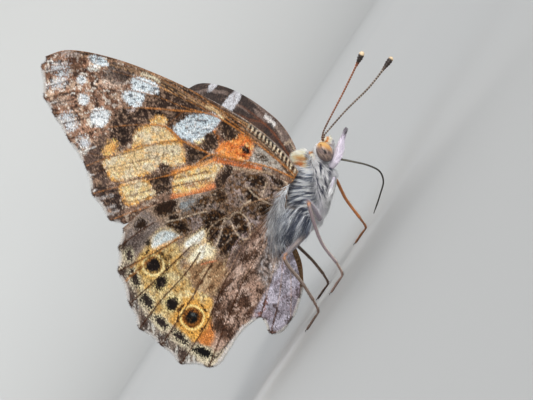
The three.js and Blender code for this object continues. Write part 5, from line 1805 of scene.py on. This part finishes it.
# Route and tone of each feeler, and how strongly its joints are ringed.
FEELERS = {
    "antenna_right": ([(4.3, -0.7, 0.5), (4.6, -0.85, 0.72), (5.2, -1.25, 0.95), (10.3, -3.0, 1.54),
                       (15.1, -4.7, 2.18)], (146, 84, 54), 1),
    "antenna_left": ([(4.3, 0.7, 0.45), (4.6, 0.85, 0.62), (5.2, 1.2, 0.55), (8.25, 2.1, 0.07),
                      (11.7, 3.4, -0.71), (15.6, 4.9, -1.04)], (78, 60, 50), 1.4),
}
FEELER_GIRTHS = [(0, 0.14), (0.03, 0.15), (0.05, 0.1), (0.82, 0.115), (0.88, 0.2), (0.93, 0.31),
                 (0.975, 0.31), (0.993, 0.2), (1, 0.06)]
FEELER_JOINTS = 38


def build_feeler(name, route, shaft, pale):
    """A ringed shaft with a dark club and a cream tip."""
    points, quads, caps, along, middle = limb(route, FEELER_GIRTHS, 300)
    ring = (along * FEELER_JOINTS) % 1
    swell = 1 + 0.09 * np.sin(ring * 2 * np.pi) * (along < 0.97)
    points = middle + (points - middle) * swell[:, None]
    rings = ramp(ring, 0.72, 0.86) * (1 - ramp(ring, 0.92, 1.0)) * (along < 0.86)
    low = ramp(-(points - middle)[:, 2], -0.02, 0.08)
    tint = layered(
        even_tint(len(points), *shaft) * (0.7 + 0.6 * noise(along * 90, along * 3, 95))[:, None],
        (0.75 * (1 - ramp(along, 0.1, 0.5)), (66, 46, 38)),
        (rings * (0.5 + 0.6 * low) * pale, (228, 214, 196)),
        (ramp(along, 0.86, 0.9), (44, 32, 26)),
        (ramp(along, 0.962, 0.985), (232, 206, 168)))
    form = Group()
    form.add(points, quads, caps, tint)
    piece = form.make(name + "_shaft", CUTICLE)
    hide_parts(name)


for name, parts in FEELERS.items():
    build_feeler(name, *parts)

TONGUE = [(3.3, 0, -1.8), (3.7, 0, -2.7), (4.02, 0, -3.5), (4.63, 0, -5.2), (4.75, 0, -6.6), (4.1, 0, -7.5),
          (2.6, 0, -8.05), (0.5, 0, -8.6)]


def build_tongue():
    """The finely ringed tongue, a little paler on its right side near the head, a painted highlight."""
    points, quads, caps, along, middle = limb(TONGUE, [(0, 0.13), (0.3, 0.1), (0.9, 0.09), (1, 0.04)], 260)
    away = points - middle
    points = middle + away * (1 + 0.06 * np.sin(along * 900))[:, None]
    tint = even_tint(len(points), 34, 30, 22) * (0.6 + 0.6 * noise(along * 60, along, 97))[:, None]
    # painted highlight along the right side near the head
    pale = ramp(away[:, 1] * -8, 0.5, 1.0) * (1 - ramp(along, 0.2, 0.6)) * 0.25
    form = Group()
    form.add(points, quads, caps, blend(tint, pale, colour(190, 180, 156)))
    piece = form.make("proboscis_tube", CUTICLE)
    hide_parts("proboscis")


build_tongue()


# Legs.
SOLE = -STANCE + 0.13  # middle line of a foot that stands
# Routes of thigh, shin and foot.
LEGS = {
    "midleg_right": (
        [(-3.0, -1.75, -3.9), (-2.0, -3.6, -2.3), (-1.75, -4.1, -1.75)],
        [(-1.75, -4.1, -1.75), (-2.4, -4.5, -2.5), (-4.5, -5.2, -5.3), (-5.4, -5.8, -7.9)],
        [(-5.4, -5.8, -7.9), (-6.1, -6.1, SOLE), (-7.0, -6.3, SOLE), (-8.3, -6.6, SOLE)]),
    "midleg_left": (
        [(-3.0, 2.0, -3.95), (0.1, 3.3, -2.95), (1.0, 3.7, -2.65)],
        [(1.0, 3.7, -2.65), (0.8, 4.0, -3.3), (-0.5, 4.8, -5.4), (-1.5, 5.3, -7.9)],
        [(-1.5, 5.3, -7.9), (-2.1, 5.6, SOLE), (-3.0, 5.8, SOLE), (-4.3, 6.1, SOLE)]),
    "hindleg_right": (
        [(-5.0, -1.65, -3.6), (-7.4, -4.3, -2.95), (-8.1, -4.9, -2.75)],
        [(-8.1, -4.9, -2.75), (-8.5, -5.2, -3.4), (-9.3, -6.0, -6.1), (-10.1, -6.5, -8.0)],
        [(-10.1, -6.5, -8.0), (-10.8, -6.8, SOLE), (-11.7, -7.0, SOLE), (-13.0, -7.3, SOLE)]),
    "hindleg_left": (
        [(-5.0, 1.65, -3.6), (-7.0, 4.3, -2.95), (-7.6, 4.9, -2.75)],
        [(-7.6, 4.9, -2.75), (-7.9, 5.2, -3.4), (-8.6, 6.0, -6.1), (-9.3, 6.5, -8.0)],
        [(-9.3, 6.5, -8.0), (-10.0, 6.8, SOLE), (-10.9, 7.0, SOLE), (-12.2, 7.3, SOLE)]),
}


def spike(at, toward, length, radius, sides=5):
    """A small closed cone."""
    toward = unit(np.asarray(toward, float))
    side = unit(np.cross(toward, [0.3, 0.8, 0.5]))
    over = np.cross(toward, side)
    turn = wheel(sides)[:, None]
    ring = at + radius * (np.cos(turn) * side + np.sin(turn) * over)
    points = np.vstack([ring, [at + toward * length], [np.asarray(at)]])
    pairs = [(i, (i + 1) % sides) for i in range(sides)]
    return points, np.array([face for i, j in pairs for face in ((i, j, sides), (j, i, sides + 1))])


LEG_STEPS = 90  # rings along each part of a leg
# Girths along each part, its spines, its hair and the share of light hairs.
LEG_PARTS = {
    "thigh": {"girths": [(0, 0.3), (0.5, 0.3), (0.9, 0.22), (1, 0.17)],
              "spines": 0, "spine": 0.2, "hairs": 1500, "hair": 0.42, "lift": 0.35, "light": 0.0},
    "shin": {"girths": [(0, 0.17), (0.1, 0.2), (0.8, 0.17), (0.97, 0.19), (1, 0.14)],
             "spines": 34, "spine": 0.3, "hairs": 900, "hair": 0.24, "lift": 0.3, "light": 0.35},
    "foot": {"girths": [(0, 0.13), (0.15, 0.13), (0.9, 0.12), (1, 0.1)],
             "spines": 40, "spine": 0.2, "hairs": 300, "hair": 0.14, "lift": 0.25, "light": 0.35},
}
# Tones of thigh, shin and foot.
LEG_TONES = {
    "midleg_right": ((132, 122, 132), (116, 100, 104), (112, 88, 78)),
    "midleg_left": ((176, 150, 128), (176, 108, 58), (132, 84, 52)),
    "hindleg_right": ((128, 116, 112), (92, 72, 60), (84, 62, 50)),
    "hindleg_left": ((128, 116, 112), (92, 72, 60), (84, 62, 50)),
}
THIGH_HAIR = (176, 170, 178)


def add_leg_tube(form, part, route, tone, painted_rim_light):
    """One part of a leg, with joints along a foot, a pale rim of painted rim light along its edges and a
    rusty knee.
    """
    points, quads, caps, along, middle = limb(route, LEG_PARTS[part]["girths"], LEG_STEPS)
    away = points - middle
    if part == "foot":
        joint = (along * 5) % 1
        points = middle + away * (1 + 0.16 * np.sin(np.pi * joint) - 0.1 * (joint > 0.94))[:, None]
    points[:, 2] = np.maximum(points[:, 2], -STANCE)
    grain = 0.75 + 0.5 * noise(along * 40, away[:, 2] * 9, 99)
    rim = np.abs(away[:, 0]) / np.maximum(np.linalg.norm(away, axis=1), 1e-6)
    knee = {"thigh": ramp(along, 0.86, 0.97), "shin": 1 - ramp(along, 0.02, 0.1), "foot": 0 * along}[part]
    # pale rim: painted rim light on the sides of the leg that face forward and back
    tint = layered(even_tint(len(points), *tone) * grain[:, None],
                   (ramp(rim, 0.6, 0.95) * painted_rim_light, (222, 208, 192)), (knee * 0.8, (196, 132, 80)))
    form.add(points, quads, caps, tint)


def add_spines(form, rng, part, line, ahead):
    """Stiff spines all round a shin, and low down along a foot."""
    number, length = LEG_PARTS[part]["spines"], LEG_PARTS[part]["spine"]
    for k in range(number):
        i = min(int((0.08 + 0.88 * (k + 0.5) / number) * LEG_STEPS), LEG_STEPS - 1)
        away = unit(np.cross(ahead[i], rng.standard_normal(3)))
        if part == "foot":
            away = unit(away * [1, 1, 0.3] + [0, 0, -0.25])
        start = line[i] + away * 0.12
        start[2] = max(start[2], -STANCE + 0.04)
        toward = unit(away * 0.55 + ahead[i] * 0.85)
        if start[2] + toward[2] * length < -STANCE + 0.01:
            toward[2] = 0.02
        points, tris = spike(start, toward, length, 0.028)
        form.add(points, np.zeros((0, 4), int), tris, even_tint(len(points), 52, 38, 30))


def add_claws(form, end, ahead):
    """Two small hooks at the end of a foot."""
    for side in (-1, 1):
        turn = unit(ahead + np.array([0, side * 0.5, 0.1]))
        hook = curve([end, end + turn * 0.2 + [0, 0, 0.05], end + turn * 0.36 - [0, 0, 0.06]], 8)
        points, quads, caps, _ = tube(hook, [(0, 0.05), (0.6, 0.035), (1, 0.008)], 6, 8)
        points[:, 2] = np.maximum(points[:, 2], -STANCE + 0.01)
        form.add(points, quads, caps, even_tint(len(points), 30, 22, 18))


def leg_hair(rng, part, line, ahead, tone):
    """Short hair along one part of a leg, none where it would touch the ground."""
    plan = LEG_PARTS[part]
    count = plan["hairs"]
    s = rng.random(count)
    i = np.clip((s * LEG_STEPS).astype(int), 0, LEG_STEPS - 1)
    turn = rng.random(count) * 2 * math.pi
    out = square_to(ahead[i], [0.3, 0.1, 0.9], turn)
    at = line[i] + out * np.interp(s, *np.array(plan["girths"]).T)[:, None] * 0.95
    tint = colour(*(THIGH_HAIR if part == "thigh" else tone)) * uneven(rng, count, 0.6, 0.6)
    tint = np.where((rng.random(count) < plan["light"])[:, None], colour(214, 196, 176), tint)
    length = plan["hair"] * (0.7 + 0.6 * rng.random(count))
    row = list(LEG_PARTS).index(part)
    uv = np.stack([0.02 + 0.96 * turn / (2 * math.pi), 0.02 + 0.32 * (row + s * 0.96)], axis=1)
    flow = unit(ahead[i] + scatter(rng, count, 0.15))
    keep = at[:, 2] > -STANCE + 0.1
    return [v[keep] for v in (at, out, flow, length, plan["lift"] + 0 * s, tint, uv)]


def build_leg(name, routes):
    """A walking leg with its spines, claws and hair."""
    rng = np.random.default_rng(len(name) + ord(name[0]) + ord(name[-1]))
    form, hair = Group(), []
    # strength of the painted rim light, stronger on the near middle leg
    painted_rim_light = 0.75 if name == "midleg_right" else 0.4
    for part, route, tone in zip(LEG_PARTS, routes, LEG_TONES[name]):
        line = curve(route, LEG_STEPS)
        ahead = unit(np.gradient(line, axis=0))
        add_leg_tube(form, part, route, tone, painted_rim_light)
        add_spines(form, rng, part, line, ahead)
        if part == "foot":
            add_claws(form, line[-1], ahead[-1])
        hair.append(leg_hair(rng, part, line, ahead, tone))
    piece = form.make(name + "_cuticle", CUTICLE)
    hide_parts(name)
    at, out, flow, length, lift, tint, uv = gathered(hair)
    coat = tufts("coat_" + name, at, out, flow, length, 0.035, lift, tint, uv, bands=1)


for name, routes in LEGS.items():
    build_leg(name, routes)


# Fringes of the wings.
FRINGE_DENSITY = 70  # fringe scales for each millimetre of margin


def build_fringe(name, net, pose, lift, seed):
    """Fine hair-like scales along the outer margin, pale between the veins."""
    rng = np.random.default_rng(seed)
    outer, light = net["outer"], net["light"]
    run = np.r_[0, np.cumsum(np.linalg.norm(np.diff(outer, axis=0), axis=1))]
    count = int(run[-1] * FRINGE_DENSITY)
    s = rng.random(count) * run[-1]
    at = np.stack([np.interp(s, run, outer[:, k]) for k in range(2)], axis=1)
    ahead = unit(np.stack([np.interp(s, run, np.gradient(outer[:, k])) for k in range(2)], axis=1))
    out = np.stack([ahead[:, 1], -ahead[:, 0]], axis=1)
    out *= np.sign(np.sum(out * (at - net["outline"].mean(0)), axis=1))[:, None]
    x, up = (at - out * 0.12).T
    face = rng.random(count) - 0.5

    def place(a, b):
        return wing_place(a, b, lift(a, b) + face * 0.08, **pose)

    root = place(x, up)
    tip = place(x + out[:, 0] * 0.3 + ahead[:, 0] * 0.06, up + out[:, 1] * 0.3 + ahead[:, 1] * 0.06)
    flow = unit(tip - root + 0.05 * rng.standard_normal((count, 3)) * 0.3)
    along = place(x + ahead[:, 0] * 0.3, up + ahead[:, 1] * 0.3) - root
    normal = unit(np.cross(flow, along))
    shade = np.interp(s, run, light) + 0.5 * (rng.random(count) - 0.5)
    tint = np.where(shade[:, None] > 0.5, colour(226, 220, 212), colour(84, 66, 58))
    tint = tint * uneven(rng, count, 0.75, 0.45)
    low, high = net["outline"].min(0), net["outline"].max(0)
    uv = 0.01 + 0.97 * (np.stack([x, up], axis=1) - low) / (high - low).max()
    length = (0.26 + 0.12 * np.interp(s, run, light)) * (0.7 + 0.5 * rng.random(count))
    rise = 0.1 * (rng.random(count) - 0.3)
    # fringe scales a little darker at the root: painted shade
    piece = tufts(name, root, normal, flow, length, 0.05, rise, tint, uv, bands=1, shaded_root=0.9)


for k, (word, pose) in enumerate((("right", NEAR_WING), ("left", FAR_WING))):
    build_fringe(f"fringe_forewing_{word}", fore, pose, forewing_lift, 110 + k)
    build_fringe(f"fringe_hindwing_{word}", hind, pose, hindwing_lift, 120 + k)


# Camera and studio.
AZIMUTH, ELEVATION, ROLL = (math.radians(angle) for angle in (9, 1, 57))
CAMERA_PLACE = (34.818, -249.685, 15.661 - STANCE)
FOCAL, PHOTO_WIDTH = 2300, 533  # in pixels of the photo
SENSOR = 36


def place_camera():
    """The photo's camera, level with the animal and rolled to the side."""
    look = Vector((-math.sin(AZIMUTH) * math.cos(ELEVATION), math.cos(AZIMUTH) * math.cos(ELEVATION),
                   -math.sin(ELEVATION)))
    level = Vector((math.cos(AZIMUTH), math.sin(AZIMUTH), 0))
    above = level.cross(look)
    right = math.cos(ROLL) * level - math.sin(ROLL) * above
    upward = math.sin(ROLL) * level + math.cos(ROLL) * above
    data = bpy.data.cameras.new("camera")
    data.sensor_width = SENSOR
    data.lens = FOCAL * SENSOR / PHOTO_WIDTH
    data.clip_start, data.clip_end = 0.01, 20
    camera = bpy.data.objects.new("camera", data)
    camera.matrix_world = Matrix((*zip(right, upward, -look, home(CAMERA_PLACE)), (0, 0, 0, 1)))
    bpy.context.scene.collection.objects.link(camera)
    bpy.context.scene.camera = camera


BOWL_RADIUS, BOWL_ROUNDING = 1.3, 0.32  # metres


def studio():
    """A pale bowl: flat floor, rounded into a low wall all round."""
    bends = np.linspace(0.1, math.pi / 2, 14)
    profile = [(BOWL_RADIUS, 0)]
    profile += [(BOWL_RADIUS + BOWL_ROUNDING * math.sin(a), BOWL_ROUNDING - BOWL_ROUNDING * math.cos(a))
                for a in bends]
    n = 64
    points = [(0, 0, 0)] + [(r * math.cos(a), r * math.sin(a), z) for r, z in profile for a in wheel(n)]
    faces = [(0, 1 + i, 1 + (i + 1) % n) for i in range(n)]
    for a in range(1, 1 + n * (len(profile) - 1), n):
        faces += [(a + i, a + n + i, a + n + (i + 1) % n, a + (i + 1) % n) for i in range(n)]
    mesh = bpy.data.meshes.new("studio_floor")
    mesh.from_pydata(points, [], faces)
    mesh.polygons.foreach_set("use_smooth", [True] * len(faces))
    mesh.materials.append(paper_material())
    floor = bpy.data.objects.new("studio_floor", mesh)
    bpy.context.scene.collection.objects.link(floor)


def paper_material():
    """Pale grey with faint clouds."""
    m, nodes, links, surface, place = shader("studio_paper", 0.9, specular=0.1)
    cloud = texture(nodes, links, place, "Noise", Scale=3.0, Detail=2.0)
    pale = nodes.new("ShaderNodeMix")
    pale.data_type = "RGBA"
    pale.inputs["A"].default_value = (*colour(176, 178, 178), 1)
    pale.inputs["B"].default_value = (*colour(186, 186, 184), 1)
    links.new(cloud.outputs["Fac"], pale.inputs["Factor"])
    links.new(pale.outputs["Result"], surface.inputs["Base Color"])
    return m


def sun(name, toward, power, spread_angle, tint=(1, 1, 1)):
    """A lamp that shines from the side named by toward."""
    data = bpy.data.lights.new(name, "SUN")
    data.energy, data.angle, data.color = power, math.radians(spread_angle), tint
    light = bpy.data.objects.new(name, data)
    light.rotation_mode = "QUATERNION"
    light.rotation_quaternion = (-Vector(toward)).to_track_quat("-Z", "Y")
    bpy.context.scene.collection.objects.link(light)


def air():
    """Even pale light from all round."""
    world = bpy.data.worlds.new("studio_air")
    world.use_nodes = True
    sky = world.node_tree.nodes["Background"].inputs
    sky["Color"].default_value, sky["Strength"].default_value = (0.9, 0.93, 1, 1), 0.38
    bpy.context.scene.world = world


place_camera()
studio()
sun("key", (0.55, -0.72, 0.55), 1.2, 12, (1.0, 0.98, 0.94))
sun("front", (0.9, -0.42, 0.27), 1.8, 25, (1.0, 0.99, 0.97))
sun("side", (0.3, -0.93, 0.24), 1.1, 14, (1.0, 0.99, 0.98))
sun("fill", (-0.7, -0.6, 0.4), 0.5, 60, (0.94, 0.97, 1.0))
sun("back", (-0.3, 0.8, 0.55), 1.6, 40)
air()
bpy.context.scene.view_settings.view_transform = "Standard"
